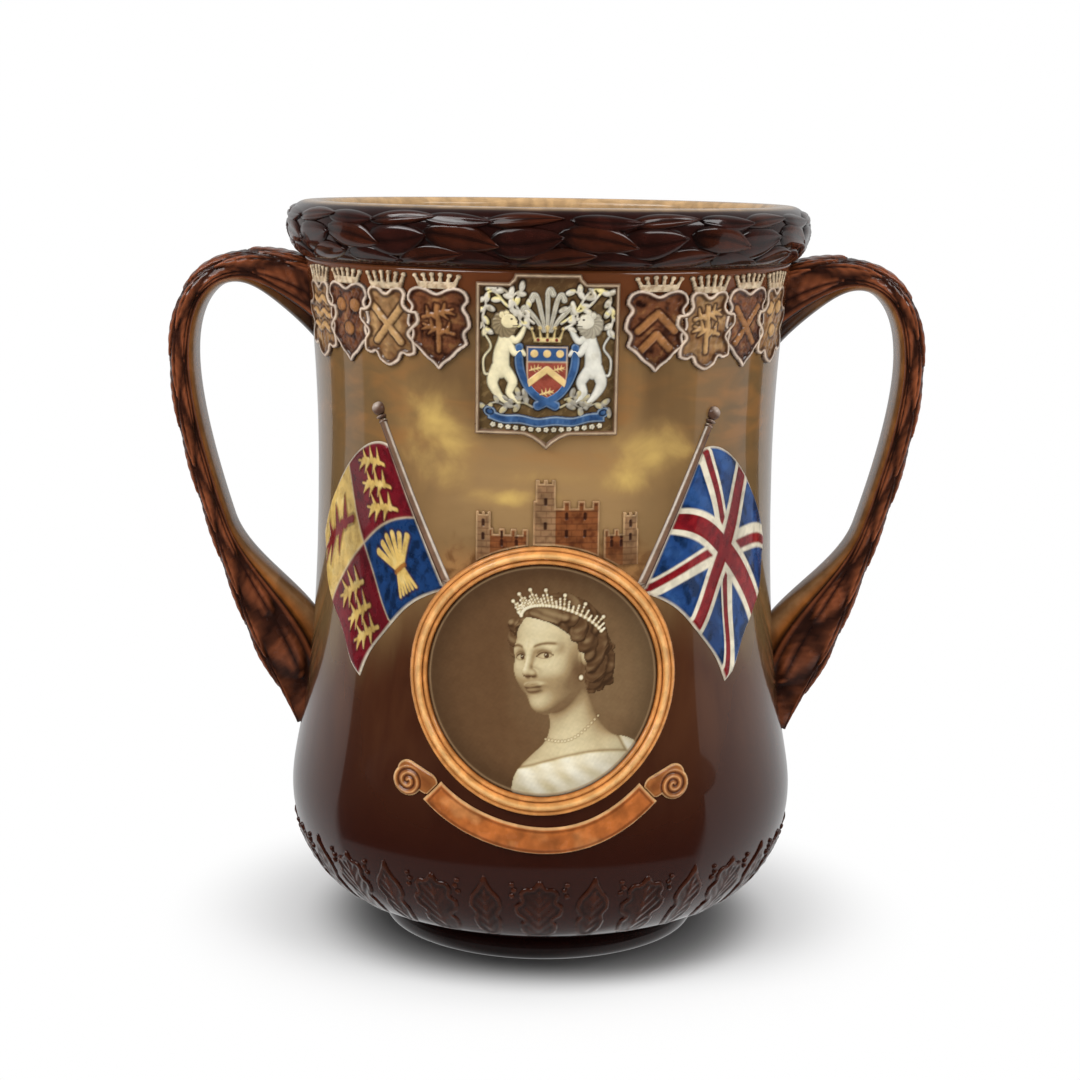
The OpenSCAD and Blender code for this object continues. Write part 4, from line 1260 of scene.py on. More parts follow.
def bough(u, v, side, points, width, leaves):
    """Distance to a curved stem with leaves along it, for the leafy scrolls."""
    line = smooth_line([(side * x, PANEL_MID + y) for x, y in points])
    far = stroke_distance(u, v, line, width, width * 0.6)
    for k, share in enumerate(np.linspace(0.18, 1.0, leaves)):
        place = int(share * (len(line) - 1))
        at = line[place]
        back = at - line[max(place - 3, 0)]
        lean = degrees(atan2(back[1], back[0])) + (52 if k % 2 else -52)
        tip = at + (1.7 - 0.3 * share) * np.array([cos(radians(lean)), sin(radians(lean))])
        far = np.minimum(far, spot_distance(u, v, tip, 1.75, 0.95, lean))
    return far


SCROLLS = (
    [(4.5, 10.5), (8.5, 13.5), (11.5, 18.5), (8.6, 21.0)],
    [(8.5, 13.5), (13.5, 16.2), (17.5, 20.5), (20.3, 19.0), (20.0, 15.6)],
    [(5.0, 8.5), (8.0, 10.2), (9.6, 13.2), (6.4, 15.4)],
    [(11.6, 18.4), (14.4, 21.2), (17.6, 22.6)],
    [(20.2, 15.6), (21.2, 11.8), (20.4, 8.0)],
)
GRASS = ([(4.5, -17.2), (8, -15.8), (12, -17.4), (16.5, -15.9), (20.3, -17.6)],
         [(6.0, -14.6), (9.4, -13.6), (12.6, -15.0)])


def make_panel(material):
    """Olive panel with a pale raised border, leafy scrolls, a blue drape, grass and a row of flowers."""
    u, v = patch((-PANEL_HALF - 0.6, panel_low[2] - 0.6), (PANEL_HALF + 0.6, PANEL_TOP + 0.6), 0.25)
    outside = polygon_distance(u, v, panel_outline())
    border = ease(outside, -1.75, -1.3)
    sides = (-1, 1)
    leaves = union(*[bough(u, v, side, points, 1.1, 6 if k < 3 else 4)
                     for side in sides for k, points in enumerate(SCROLLS)])
    grass = union(*[bough(u, v, side, points, 0.7, 7) for side in sides for points in GRASS])
    petals = []
    for x in np.linspace(-17.5, 17.5, 15):
        y = PANEL_MID - 24.6 + 0.0045 * x ** 2
        for k in range(5):
            petal = radians(72 * k + 10 * x)
            petals.append(spot_distance(u, v, (x + 0.5 * cos(petal), y + 0.5 * sin(petal)), 0.42))
    flowers = union(*petals)
    hanging = ((9.2, 2.5), (8.6, -5.0), (4.4, -12.4), (-2.8, -16.6))
    lines = [smooth_line([(side * x, PANEL_MID + y) for x, y in hanging]) for side in sides]
    drape = union(*[stroke_distance(u, v, line, 2.7, 3.1) for line in lines])
    pitted = rough_field(u, v, 3.2, 41)
    height = PANEL_LIFT * 0.55 + 0.12 * pitted
    for shape, base, rise, reach in ((leaves, 0.55, 1.25, 0.8), (grass, 0.5, 0.9, 0.6),
                                     (drape, 0.55, 1.1, 0.9), (flowers, 0.55, 0.7, 0.35)):
        height = np.maximum(height, base + rise * dome(shape, reach) * (shape < 0))
    rail = 0.35 + 1.8 * bell(outside, 0.55, -0.75)
    height = height * (1 - border) + rail * border
    height = np.minimum(height, PANEL_LIFT + FIGURE_LIFT)
    tones = rough_field(u, v, 7, 42)
    leafy = coats(
        primer(u, (214, 206, 188)),
        (ease(tones, 0.15, 0.5), colour("cream") * [1, 0.97, 0.72]),
        (0.7 * ease(-tones, 0.2, 0.8), (156, 142, 112)))
    blue = lay(primer(u, (58, 92, 136)), 0.6 * ease(tones, -0.1, 0.6), (34, 62, 104))
    paint = coats(
        primer(u, (96, 74, 44)),
        (0.7 * ease(pitted, 0.0, 0.8), (124, 100, 64)),
        (0.45 * ease(v, PANEL_MID + 12, PANEL_MID + 26), (74, 36, 18)),
        (0.9 * cover(leaves - 0.5, 0.3), (34, 20, 10)),
        (0.9 * cover(grass - 0.3, 0.3), (40, 24, 12)),
        (0.95 * cover(drape - 0.5, 0.3), (22, 20, 26)),
        (cover(leaves, 0.18), leafy),
        (cover(grass, 0.18), lay(leafy * 0.55, ease(tones, -0.2, 0.4), (186, 172, 132))),
        (0.8 * cover(flowers - 0.3, 0.2), (52, 34, 18)),
        (cover(flowers, 0.15), (216, 206, 180)),
        (cover(drape, 0.18), blue),
        (0.6 * bell(drape, 0.25, -0.2), (128, 152, 178)),
        (border, (96, 58, 32)),
        (0.9 * bell(outside, 0.42, -0.75), (186, 164, 136)))
    add_piece(relief_mesh("arms_panel_looks", u, v, outside, height, paint, 0), "arms_panel", material)


def figure(node, low, high, draw, material):
    """A figure on the panel: draw gives its outline, relief from 0 to 1 and paint on a fine grid."""
    u, v = patch((low[0], PANEL_MID + low[1]), (high[0], PANEL_MID + high[1]), 0.2)
    outside, relief, paint = draw(u, v - PANEL_MID)
    height = np.minimum(0.55 + 1.6 * relief, PANEL_LIFT + FIGURE_LIFT)
    paint = lay(paint, 0.85 * (1 - ease(-outside, 0.05, 0.6)), (46, 28, 16))
    add_piece(relief_mesh(node + "_looks", u, v, outside, height, paint, 0), node, material)


def draw_shield(u, v):
    """Red shield with a gold chevron between leaves, under a blue chief with three rounds."""
    w, h, top = 14.1, 19.1, 3.2
    a = np.radians(np.linspace(0, 90, 14))
    right = np.stack([w / 2 * np.cos(a), top - h * 0.45 - h * 0.55 * np.sin(a)], 1)
    outline = np.concatenate([[[-w / 2, top], [w / 2, top]], right, right[::-1][1:] * [-1, 1]])
    outside = polygon_distance(u, v, outline)
    tones = rough_field(u, v, 5, 51)
    chief = v - (top - 5.4)
    chevron = stroke_distance(u, v, [(-6.4, -9.6), (0, -4.6), (6.4, -9.6)], 2.1)
    rounds = [spot_distance(u, v, (x, top - 2.7), 1.25) for x in (-4.2, 0, 4.2)]
    sprigs = [sprig_charge(u, v, (x, y), size)
              for x, y, size in ((0, -12.2, 2.2), (-3.8, -4.4, 1.9), (3.8, -4.4, 1.9))]
    drawn = union(chevron, *rounds, *sprigs)
    paint = coats(
        primer(u, (150, 72, 56)),
        (0.6 * ease(tones, 0, 0.7), (112, 46, 38)),
        (cover(-chief, 0.2), (52, 84, 128)),
        (cover(drawn, 0.2), (222, 190, 128)),
        (0.7 * bell(chief, 0.3), (196, 176, 140)),
        (0.8 * bell(outside, 0.3, -0.55), (206, 180, 146)))
    relief = 0.55 * dome(outside, 1.0) + 0.2 * cover(drawn, 0.2) + 0.16 * bell(outside, 0.4, -0.55)
    return outside, relief, paint


BEAST_LIMBS = (
    (((15.0, -5.0), (14.9, 0.0), (13.6, 5.0), (13.6, 8.6)), 6.2, 4.8),
    (((16.0, -4.6), (17.8, -9.0), (16.0, -13.0), (13.8, -15.4)), 5.2, 1.9),
    (((13.8, -5.0), (11.2, -8.8), (12.2, -12.6), (9.8, -15.2)), 4.6, 1.8),
    (((12.8, 6.2), (10.4, 4.6), (8.6, 6.6), (7.6, 8.8)), 3.2, 1.8),
    (((12.6, 3.6), (10.6, 0.6), (8.8, 1.4), (7.4, 0.2)), 3.2, 1.8),
)
BEAST_TAIL = ((17.2, -5.6), (20.2, -6.6), (20.8, -1.6), (18.4, 2.4), (20.2, 6.2))
BEAST_PAWS = ((13.2, -15.8), (9.2, -15.7), (7.3, 9.2), (7.0, 0.1))


def draw_beast(side, coat, mane_tint):
    """Maned beast on its hind legs that faces the shield."""
    def draw(u, v):
        x = u * side
        limbs = []
        ridge_line = 0 * u
        for points, first, last in BEAST_LIMBS:
            limbs.append(stroke_distance(x, v, smooth_line(points), first, last))
            ridge_line = np.maximum(ridge_line, dome(limbs[-1], first / 2.2) * (limbs[-1] < 0))
        body = union(*limbs, *[spot_distance(x, v, paw, 1.25, 0.85) for paw in BEAST_PAWS])
        tail = stroke_distance(x, v, smooth_line(BEAST_TAIL), 1.2, 1.0)
        tail = np.minimum(tail, spot_distance(x, v, (20.4, 7.4), 1.2, 2.0, 20))
        angle, ring = np.arctan2(v - 10.0, x - 13.9), np.hypot(x - 13.9, v - 10.0)
        mane = ring - 4.3 - 0.35 * abs(np.sin(6 * angle))
        muzzle = spot_distance(x, v, (10.7, 10.2), 1.5, 1.15)
        head = union(spot_distance(x, v, (12.6, 11.0), 2.5, 2.3), muzzle)
        ear = union(*[spot_distance(x, v, at, 0.8, 1.0) for at in ((13.4, 13.8), (14.9, 13.0))])
        outside = union(body, tail, mane, head, ear)
        tones = rough_field(u, v, 6, 61)
        locks = 0.5 + 0.5 * np.cos(14 * angle + 2.2 * ring)
        eye = spot_distance(x, v, (11.7, 11.7), 0.42, 0.3)
        mouth = stroke_distance(x, v, [(9.5, 9.6), (11.2, 9.5)], 0.3)
        nose = spot_distance(x, v, (9.5, 10.6), 0.42)
        paint = coats(
            primer(u, coat),
            (0.35 * ease(tones, 0.1, 0.9), coat * [0.8, 0.76, 0.66]),
            # Painted shade: the limbs are darker away from their ridges, to round them.
            (0.6 * (1 - ridge_line) * cover(body, 0.2), coat * 0.45),
            (cover(mane, 0.2), lay(primer(u, mane_tint), 0.55 * locks, mane_tint * 0.45)),
            (cover(np.minimum(head, ear), 0.2), coat * [0.94, 0.9, 0.82]),
            (cover(union(eye, mouth, nose), 0.12), (44, 28, 18)))
        relief = np.maximum(0.72 * ridge_line, 0.42 * dome(outside, 0.7))
        relief = np.maximum(relief, cover(mane, 0.15) * (0.68 + 0.14 * locks) * dome(mane, 1.0))
        relief = np.maximum(relief, (0.8 + 0.2 * dome(head, 1.6)) * cover(head, 0.15))
        return outside, relief, paint
    return draw


def draw_crest(u, v):
    """Coronet with plumes that curl to both sides."""
    band = np.maximum(abs(u) - 4.6, abs(v - 5.0) - 0.95)
    spikes = []
    for x in (-4.2, -2.1, 0, 2.1, 4.2):
        drop = 0.12 * abs(x)
        spikes.append(stroke_distance(u, v, [(x, 5.6), (x * 1.2, 8.6 - drop)], 1.4, 0.8))
        spikes.append(spot_distance(u, v, (x * 1.22, 9.1 - drop), 0.75))
    coronet = union(band, *spikes)
    plumes = []
    for reach, tall, sides in ((0.0, 21.4, (1,)), (3.6, 19.6, (-1, 1)), (6.6, 15.4, (-1, 1))):
        line = smooth_line([(0.2 * reach, 8.0), (0.55 * reach, 0.45 * tall + 4.6),
                            (0.9 * reach, tall - 1.4), (reach + 0.9, tall), (reach + 1.7, tall - 1.6)])
        plumes += [stroke_distance(u * side, v, line, 1.6, 2.3) for side in sides]
    barbs = np.maximum.reduce([bell(quill, 0.28, -0.75) for quill in plumes])
    outside = union(coronet, *plumes)
    tones = rough_field(u, v, 4, 71)
    gold = lay(primer(u, (214, 190, 132)), 0.5 * ease(-tones, 0, 0.8), (152, 120, 70))
    gems = union(*[spot_distance(u, v, (x, 5.0), 0.55) for x in (-3, 0, 3)])
    paint = coats(
        primer(u, (226, 220, 200)),
        (0.5 * ease(tones, 0, 0.8), (168, 158, 132)),
        (0.6 * barbs, (112, 98, 76)),
        (cover(coronet, 0.2), gold),
        (cover(gems, 0.15), (116, 40, 36)))
    relief = 0.5 * dome(outside, 0.7) + 0.2 * barbs + 0.25 * cover(coronet, 0.2)
    return outside, relief, paint


def draw_scroll(u, v):
    """Blank scroll with rolled ends."""
    bow = -22.0 + 0.0055 * u ** 2
    ripple = np.sin(u * 0.55)
    band = np.maximum(abs(v - bow - 0.35 * ripple) - 1.75, abs(u) - 19.4)
    ends = union(*[spot_distance(u, v, (s * 18.6, -18.9), 2.5, 1.9, s * 25) for s in (-1, 1)])
    coil = union(*[abs(spot_distance(u, v, (s * 18.6, -18.9), 1.2, 0.9, s * 25)) for s in (-1, 1)])
    outside = np.minimum(band, ends)
    groove = cover(ends, 0.15) * bell(coil, 0.3)
    tones = rough_field(u, v, 6, 81)
    paint = coats(
        primer(u, (52, 84, 126)),
        (0.7 * ease(tones, -0.1, 0.7), (30, 54, 92)),
        (0.35 * ease(-tones, 0.2, 0.8), (96, 124, 156)),
        (0.75 * bell(outside, 0.25, -0.5), (150, 166, 178)),
        (0.9 * groove, (20, 30, 50)))
    relief = 0.6 * dome(outside, 0.8) + 0.1 * ripple - 0.15 * groove
    return outside, np.clip(relief, 0, 1), paint


def make_arms():
    """The panel and everything on it."""
    make_panel(painted_glaze("panel_glaze", 0.3, 0.6, 260.0, 0.2))
    enamel = painted_glaze("arms_enamel", 0.28, 0.6, 300.0, 0.16)
    cream = painted_glaze("cream_enamel", 0.3, 0.55, 300.0, 0.12)
    blue = painted_glaze("blue_enamel", 0.28, 0.6, 300.0, 0.18)
    figure("arms_shield", (-8, -17), (8, 4.2), draw_shield, enamel)
    figure("arms_crest", (-10, 3), (10, 23.5), draw_crest, cream)
    figure("arms_scroll", (-22, -25), (22, -15.5), draw_scroll, blue)
    left = draw_beast(-1, colour("cream"), shade(146, 128, 96))
    right = draw_beast(1, shade(222, 218, 204), shade(178, 168, 146))
    figure("arms_left_beast", (-22.4, -17.5), (-5.4, 15.6), left, cream)
    figure("arms_right_beast", (5.4, -17.5), (22.4, 15.6), right, cream)


# The row of crowned shields; each outline is given by its right half

LOBED = ((0.0, -0.07), (0.24, 0.0), (0.5, 0.0), (0.64, -0.08), (0.58, -0.2), (0.72, -0.27),
         (0.95, -0.29), (1.0, -0.42), (0.82, -0.51), (0.7, -0.58), (0.84, -0.67), (0.84, -0.82),
         (0.6, -0.86), (0.44, -0.84), (0.32, -0.93), (0, -1))
POINTED = ((0.0, -0.07), (0.3, -0.02), (0.6, 0.0), (0.88, -0.05), (0.98, -0.16), (0.84, -0.25),
           (0.96, -0.34), (1.0, -0.47), (0.84, -0.56), (0.9, -0.68), (0.66, -0.76), (0.42, -0.86),
           (0.18, -0.93), (0, -1))


def shield_charge(kind, u, v):
    """Distance to one of five common devices in the field of a shield."""
    if kind == 0:
        lines = [[(-5.6, -10.2), (0, -4.4), (5.6, -10.2)], [(-4.6, -16.6), (0, -11.4), (4.6, -16.6)]]
        return union(*[stroke_distance(u, v, line, 2.2) for line in lines])
    if kind == 1:
        return union(*[spot_distance(u, v, at, 2.2) for at in ((-3.4, -4.6), (3.4, -4.6), (0, -12.6))])
    if kind == 2:
        stem = stroke_distance(u, v, [(0, -17.8), (0, -3.0)], 1.2)
        return union(stem, sprig_charge(u, v, (0, -5.2), 4.6), sprig_charge(-u, v, (0, -10.4), 4.6))
    if kind == 3:
        waves = [[(x, y + 0.9 * sin(x * 0.9)) for x in np.linspace(-6, 6, 13)] for y in (-4.0, -8.6, -13.2)]
        return union(*[stroke_distance(u, v, wave, 1.7) for wave in waves])
    bars = [[(-5.4, -3.6), (4.4, -15.6)], [(5.4, -3.6), (-4.4, -15.6)]]
    return union(*[stroke_distance(u, v, bar, 2.0) for bar in bars])


def shield_relief(dark, kind, seed):
    """Grid, outline, height and paint of one crowned shield; its solid's body has its top at height 0."""
    outline, width, tall, rise = (POINTED, 19.8, 27.4, 3.4) if dark else (LOBED, 22.4, 26.6, 2.6)
    stretch = 1.2
    u, v = patch((-width / 2 - 0.9, rise - tall - 0.7), (width / 2 + 0.9, 8.6), 0.3)
    half = [(x * width / 2, rise + y * tall) for x, y in outline]
    body = polygon_distance(u, v, smooth_line(both_sides(half), True, 5))
    crown = np.maximum(abs(u) - 5.4, abs(v - rise - 0.4) - 1.2)
    for x in np.linspace(-5.0, 5.0, 6):
        tip = (x * 1.34, 7.4 - 0.12 * abs(x))
        spike = stroke_distance(u, v, [(x, rise), tip], 1.5, 0.8)
        crown = union(crown, spike, spot_distance(u, v, tip, 0.78))
    outside = np.minimum(body, crown)
    charge = shield_charge(kind, u, v)
    tones = rough_field(u, v, 7.5, seed)
    fine = rough_field(u, v, 2.6, seed + 1)
    inner = ease(-body, 1.2, 2.0)
    height = 0.25 + dome(outside, 0.6) - 0.5 * inner + 0.2 * fine * inner + 0.5 * inner * dome(charge, 0.9)
    height = np.where(crown < body, 0.2 + 0.85 * dome(crown, 0.55), height) * (1.0 if dark else 1.12)
    light, deep = shade(188, 150, 101), shade(114, 75, 42)
    if dark:
        light, deep = shade(150, 104, 62), shade(40, 15, 6)
    metal = lay(primer(u, (206, 184, 152)), 0.6 * ease(fine, -0.2, 0.6), (142, 104, 70))
    paint = coats(
        primer(u, colour("brown" if dark else "tan")),
        (ease(tones, 0.0, 0.8), deep),
        (0.8 * ease(-tones + 0.3 * fine, 0.1, 0.8), light),
        # Painted shade: the field darkens towards its lower end and its right side.
        (0.6 * ease(rise - v, 0.6 * tall, tall) + 0.4 * ease(u, 0, width / 2), deep),
        (0.85 * inner * cover(charge, 0.3), light * [1.15, 1.12, 1.08]),
        (0.85 * inner * bell(charge, 0.4, 0.5), (44, 18, 8)),
        # Painted shade in a band just inside the raised rim.
        (0.85 * bell(body, 0.6, -1.55), (44, 18, 8)),
        (0.95 * bell(body, 0.34, -0.6), (224, 204, 184)),
        # Painted shade along the outer edge of the shield.
        (0.9 * (1 - ease(-body, 0.05, 0.3)), (40, 18, 10)),
        (cover(crown, 0.2) * (crown < body), metal),
        # Painted shade along the outer edge of the crown.
        (0.8 * (crown < body) * (1 - ease(-crown, 0.02, 0.25)), (52, 26, 14)))
    return u * stretch, v, outside, np.clip(height, 0.1, 1.5), paint


def make_shields():
    """Every shield of the row, from a few designs in turn."""
    tan = painted_glaze("tan_glaze", 0.3, 0.6, 240.0, 0.22)
    brown = painted_glaze("brown_glaze", 0.28, 0.65, 240.0, 0.26)
    designs = [shield_relief(dark, kind, 90 + 7 * kind) for kind in range(5) for dark in (False, True)]
    names = [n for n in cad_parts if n.startswith("shield_")]
    for name in sorted(names, key=lambda n: int(n.split("_")[1])):
        number = int(name.split("_")[1])
        low, high = node_box(name)
        middle = (low + high) / 2
        turn = degrees(atan2(middle[0], -middle[1]))
        dark = number % 2 == 1
        u, v, outside, height, paint = designs[2 * (number * 2 % 5) + dark]
        up = low[2] + 24.0
        mesh = relief_mesh(name + "_looks", u, v + up, outside, height, paint, turn)
        add_piece(mesh, name, brown if dark else tan)


# The castle behind the medallion

def block_distance(u, v, low, high):
    """Distance to an upright rectangle."""
    return np.maximum(abs(u - (low[0] + high[0]) / 2) - (high[0] - low[0]) / 2,
                      abs(v - (low[1] + high[1]) / 2) - (high[1] - low[1]) / 2)


def battlements(u, v, middle, width, low, top, teeth):
    """Distance to a wall with square teeth."""
    tooth = width / (2 * teeth - 1)
    far = block_distance(u, v, (middle - width / 2, low), (middle + width / 2, top - tooth))
    for k in range(teeth):
        start = middle - width / 2 + 2 * k * tooth
        far = np.minimum(far, block_distance(u, v, (start, low), (start + tooth, top)))
    return far


def make_castle():
    """Keep with its turret, and a lower range on each side."""
    material = painted_glaze("castle_glaze", 0.32, 0.55, 260.0, 0.24)
    wide, tall = 22.0, 25.2
    base = 151.0
    course_tall, stone_long = 2.1, 3.4
    plans = {
        "castle_keep": (5.0, [(0, 1.0, 0.72, 5, 0), (-0.32, 0.3, 1.0, 3, 1)]),
        "castle_left_range": (-9.8, [(0, 0.8, 0.34, 5, 0), (-0.288, 0.224, 0.56, 3, 1)]),
        "castle_right_range": (17.9, [(0, 0.55, 0.34, 4, 0), (0.143, 0.231, 0.56, 3, 1)])}
    for seed, (name, (turn, walls)) in enumerate(plans.items()):
        low, high = node_box(name)
        u, v = patch((-wide * 0.56, low[2] - 0.5), (wide * 0.56, high[2] + 0.5), 0.25)
        relief, tower = np.zeros(u.shape), np.zeros(u.shape)
        parts, slits = [], []
        away = -np.sign(walls[1][0])
        for shift, broad, up, teeth, is_tower in walls:
            middle, width, top = wide * shift, wide * broad, tall * up
            part = battlements(u, v, middle, width, base - 6, base + top, teeth)
            round_front = ridge(u, middle, 0.62 * width) if is_tower else 0.7
            relief = np.maximum(relief, (part < 0) * (0.35 + 0.6 * dome(part, 0.4) * round_front))
            tower = np.where(part < 0, is_tower, tower)
            parts.append(part)
            for k in ([0] if is_tower else [0, away]):
                for share in (0.36, 0.68):
                    x, y = middle + k * width * 0.28, base + share * top
                    slits.append(stroke_distance(u, v, [(x, y), (x, y + 1.5)], 1.1))
        outside = np.maximum(union(*parts), MEDAL_R + 0.3 - from_medal(u, v, turn))
        rows = (v - base) / course_tall
        course = abs(rows - np.round(rows)) * course_tall
        shifted = (u + (np.floor(rows) % 2) * stone_long / 2) / stone_long
        joint = abs(shifted - np.round(shifted)) * stone_long
        mortar = np.maximum(bell(course, 0.22), 0.7 * bell(joint, 0.2))
        dark = cover(union(*slits), 0.2)
        tones = rough_field(u, v, 7, 120 + seed)
        height = np.clip(relief - 0.12 * mortar - 0.3 * dark, 0.1, 1.0)
        stone = lay(primer(u, (150, 122, 88)), 0.5 * ease(tones, 0, 0.8), (108, 82, 54))
        paint = coats(
            primer(u, (122, 70, 36)),
            (0.7 * ease(tones, -0.1, 0.7), (82, 38, 16)),
            (0.6 * tower, stone),
            (0.5 * mortar, (70, 34, 16)),
            (0.9 * dark, (46, 18, 8)),
            (0.75 * bell(outside, 0.28, -0.25), (186, 152, 110)),
            (0.6 * (1 - ease(v, base - 2, base + 4)), (104, 66, 36)))
        add_piece(relief_mesh(name + "_looks", u, v, outside, height, paint, turn), name, material)


# The sepia print on the plaque: a sitter modelled in the round and lit, then kept as tones

HEAD_TALL = 38.0
HEAD_AT = np.array([4.0, 8.5])
HEAD_TURN = radians(-38)
HEAD_LEAN = radians(5)


def ball(p, centre, radii):
    """Distance to an ellipsoid, close enough for modelling."""
    radii = np.broadcast_to(np.asarray(radii, float), (3,))
    q = (p - np.asarray(centre, float)) / radii
    return (np.sqrt((q ** 2).sum(-1)) - 1) * radii.min()


def limb(p, a, b, first, last):
    """Distance to a tapered rod."""
    a, b = np.asarray(a, float), np.asarray(b, float)
    t = np.clip(((p - a) @ (b - a)) / ((b - a) @ (b - a)), 0, 1)
    return np.sqrt(((p - a - t[:, None] * (b - a)) ** 2).sum(-1)) - (first + (last - first) * t)


def melt(a, b, soft):
    """Union of two shapes with a soft joint."""
    h = np.clip(0.5 + 0.5 * (b - a) / soft, 0, 1)
    return b + (a - b) * h - soft * h * (1 - h)


def carve(a, b, soft):
    """The first shape less the second, with a soft edge."""
    return -melt(-a, b, soft)


def head_turned(p):
    """Points in the head's own frame: x to the ear on the picture's right, y up, z out of the face."""
    c, s = cos(HEAD_LEAN), sin(HEAD_LEAN)
    x, y, z = p[:, 0] * c + p[:, 1] * s, p[:, 1] * c - p[:, 0] * s, p[:, 2]
    c, s = cos(HEAD_TURN), sin(HEAD_TURN)
    return np.stack([x * c - z * s, y, x * s + z * c], -1)


def head_back(q):
    """One point from the head's own frame back to the picture's."""
    c, s = cos(HEAD_TURN), sin(HEAD_TURN)
    x, y, z = q[0] * c + q[2] * s, q[1], q[2] * c - q[0] * s
    c, s = cos(HEAD_LEAN), sin(HEAD_LEAN)
    return np.array([x * c - y * s, y * c + x * s, z])


EYE_AT = (0.132, 0.0)
HAIR_AT = np.array([0, 0.155, -0.09])
HAIR_RADII = np.array([0.375, 0.385, 0.415])


def skin_shape(p):
    """Head, neck and shoulders."""
    q = head_turned(p)
    m = np.stack([abs(q[:, 0]), q[:, 1], q[:, 2]], -1)
    d = ball(q, (0, 0.12, -0.06), (0.33, 0.38, 0.40))
    d = melt(d, ball(q, (0, -0.13, 0.07), (0.25, 0.36, 0.285)), 0.09)
    d = melt(d, ball(q, (0, -0.415, 0.225), (0.085, 0.075, 0.08)), 0.11)
    d = melt(d, ball(m, (0.165, -0.12, 0.19), (0.105, 0.12, 0.1)), 0.11)
    d = melt(d, limb(m, (0.03, 0.08, 0.325), (0.2, 0.07, 0.245), 0.03, 0.026), 0.08)
    d = carve(d, ball(m, (0.135, 0.0, 0.375), (0.08, 0.055, 0.06)), 0.06)
    d = melt(d, limb(q, (0, 0.06, 0.335), (0, -0.115, 0.415), 0.02, 0.03), 0.05)
    d = melt(d, ball(q, (0, -0.135, 0.408), (0.036, 0.034, 0.04)), 0.03)
    d = melt(d, ball(m, (0.036, -0.148, 0.37), (0.027, 0.025, 0.035)), 0.03)
    d = melt(d, ball(m, (0.028, -0.252, 0.335), (0.055, 0.016, 0.042)), 0.03)
    d = melt(d, ball(q, (0, -0.292, 0.33), (0.06, 0.02, 0.044)), 0.03)
    d = melt(d, ball(m, (0.325, -0.03, -0.02), (0.035, 0.085, 0.055)), 0.02)
    d = melt(d, limb(p, (0.1, -0.3, -0.12), (0.23, -0.8, -0.2), 0.168, 0.23), 0.08)
    trunk = ball(p, (0.27, -1.25, -0.2), (0.6, 0.56, 0.38))
    trunk = melt(trunk, ball(p, (0.6, -0.93, -0.12), (0.17, 0.17, 0.17)), 0.12)
    trunk = melt(trunk, ball(p, (-0.12, -1.16, 0.04), (0.22, 0.22, 0.2)), 0.14)
    return melt(d, trunk, 0.14)


def hair_shape(p):
    """Short waved hair, swept back from the brow, with curls over the ear and the nape."""
    q = head_turned(p)
    qx, qy, qz = q.T
    waves = 0.012 * np.sin(26 * qy + 9 * qx + 7 * np.sin(7 * qz)) + 0.008 * np.sin(60 * qz + 34 * qy)
    front = 0.72 * (qz - 0.2) - 0.62 * (qy - 0.24)
    cap = np.maximum.reduce([ball(q, HAIR_AT, HAIR_RADII) + waves, front, -(qy + 0.2)])
    m = np.stack([abs(qx), qy, qz], -1)
    for at, size in (((0.33, 0.2, 0.06), 0.085), ((0.37, 0.08, 0.0), 0.085), ((0.37, -0.05, -0.06), 0.085),
                     ((0.35, -0.17, -0.12), 0.085), ((0.29, -0.25, -0.2), 0.085),
                     ((0.36, 0.02, -0.16), 0.1), ((0.35, -0.11, -0.25), 0.1), ((0.25, -0.22, -0.32), 0.1),
                     ((0.32, 0.14, -0.2), 0.11), ((0.3, 0.3, 0.12), 0.07), ((0.13, -0.25, -0.37), 0.1),
                     ((0.24, -0.02, -0.36), 0.11)):
        cap = melt(cap, ball(m, at, size) + waves * 1.4, 0.025)
    return cap


def march(shape, x, y):
    """Depth where rays from the front meet a shape, and which rays do."""
    depth = np.full(len(x), 1.2)
    live = np.ones(len(x), bool)
    for _ in range(46):
        p = np.stack([x[live], y[live], depth[live]], -1)
        far = shape(p)
        depth[live] -= np.maximum(far, 0.002) * 0.85
        still = (far > 0.003) & (depth[live] > -1.1)
        live[np.flatnonzero(live)[~still]] = False
    return depth, depth > -1.05


def lit(shape, p, light):
    """Light on points of a shape: how far they are turned to the lamp, and how open they lie."""
    small = 0.006
    base = shape(p)
    normal = np.stack([shape(p + small * axis) - base for axis in np.eye(3)], -1)
    normal /= np.maximum(np.linalg.norm(normal, axis=1), 1e-9)[:, None]
    return np.clip(normal @ light, 0, 1), np.clip(shape(p + 0.1 * normal) / 0.1, 0.2, 1)


def blend(first, second, share):
    """Goes from the first tone to the second as share goes from 0 to 1."""
    return first * (1 - share) + second * share


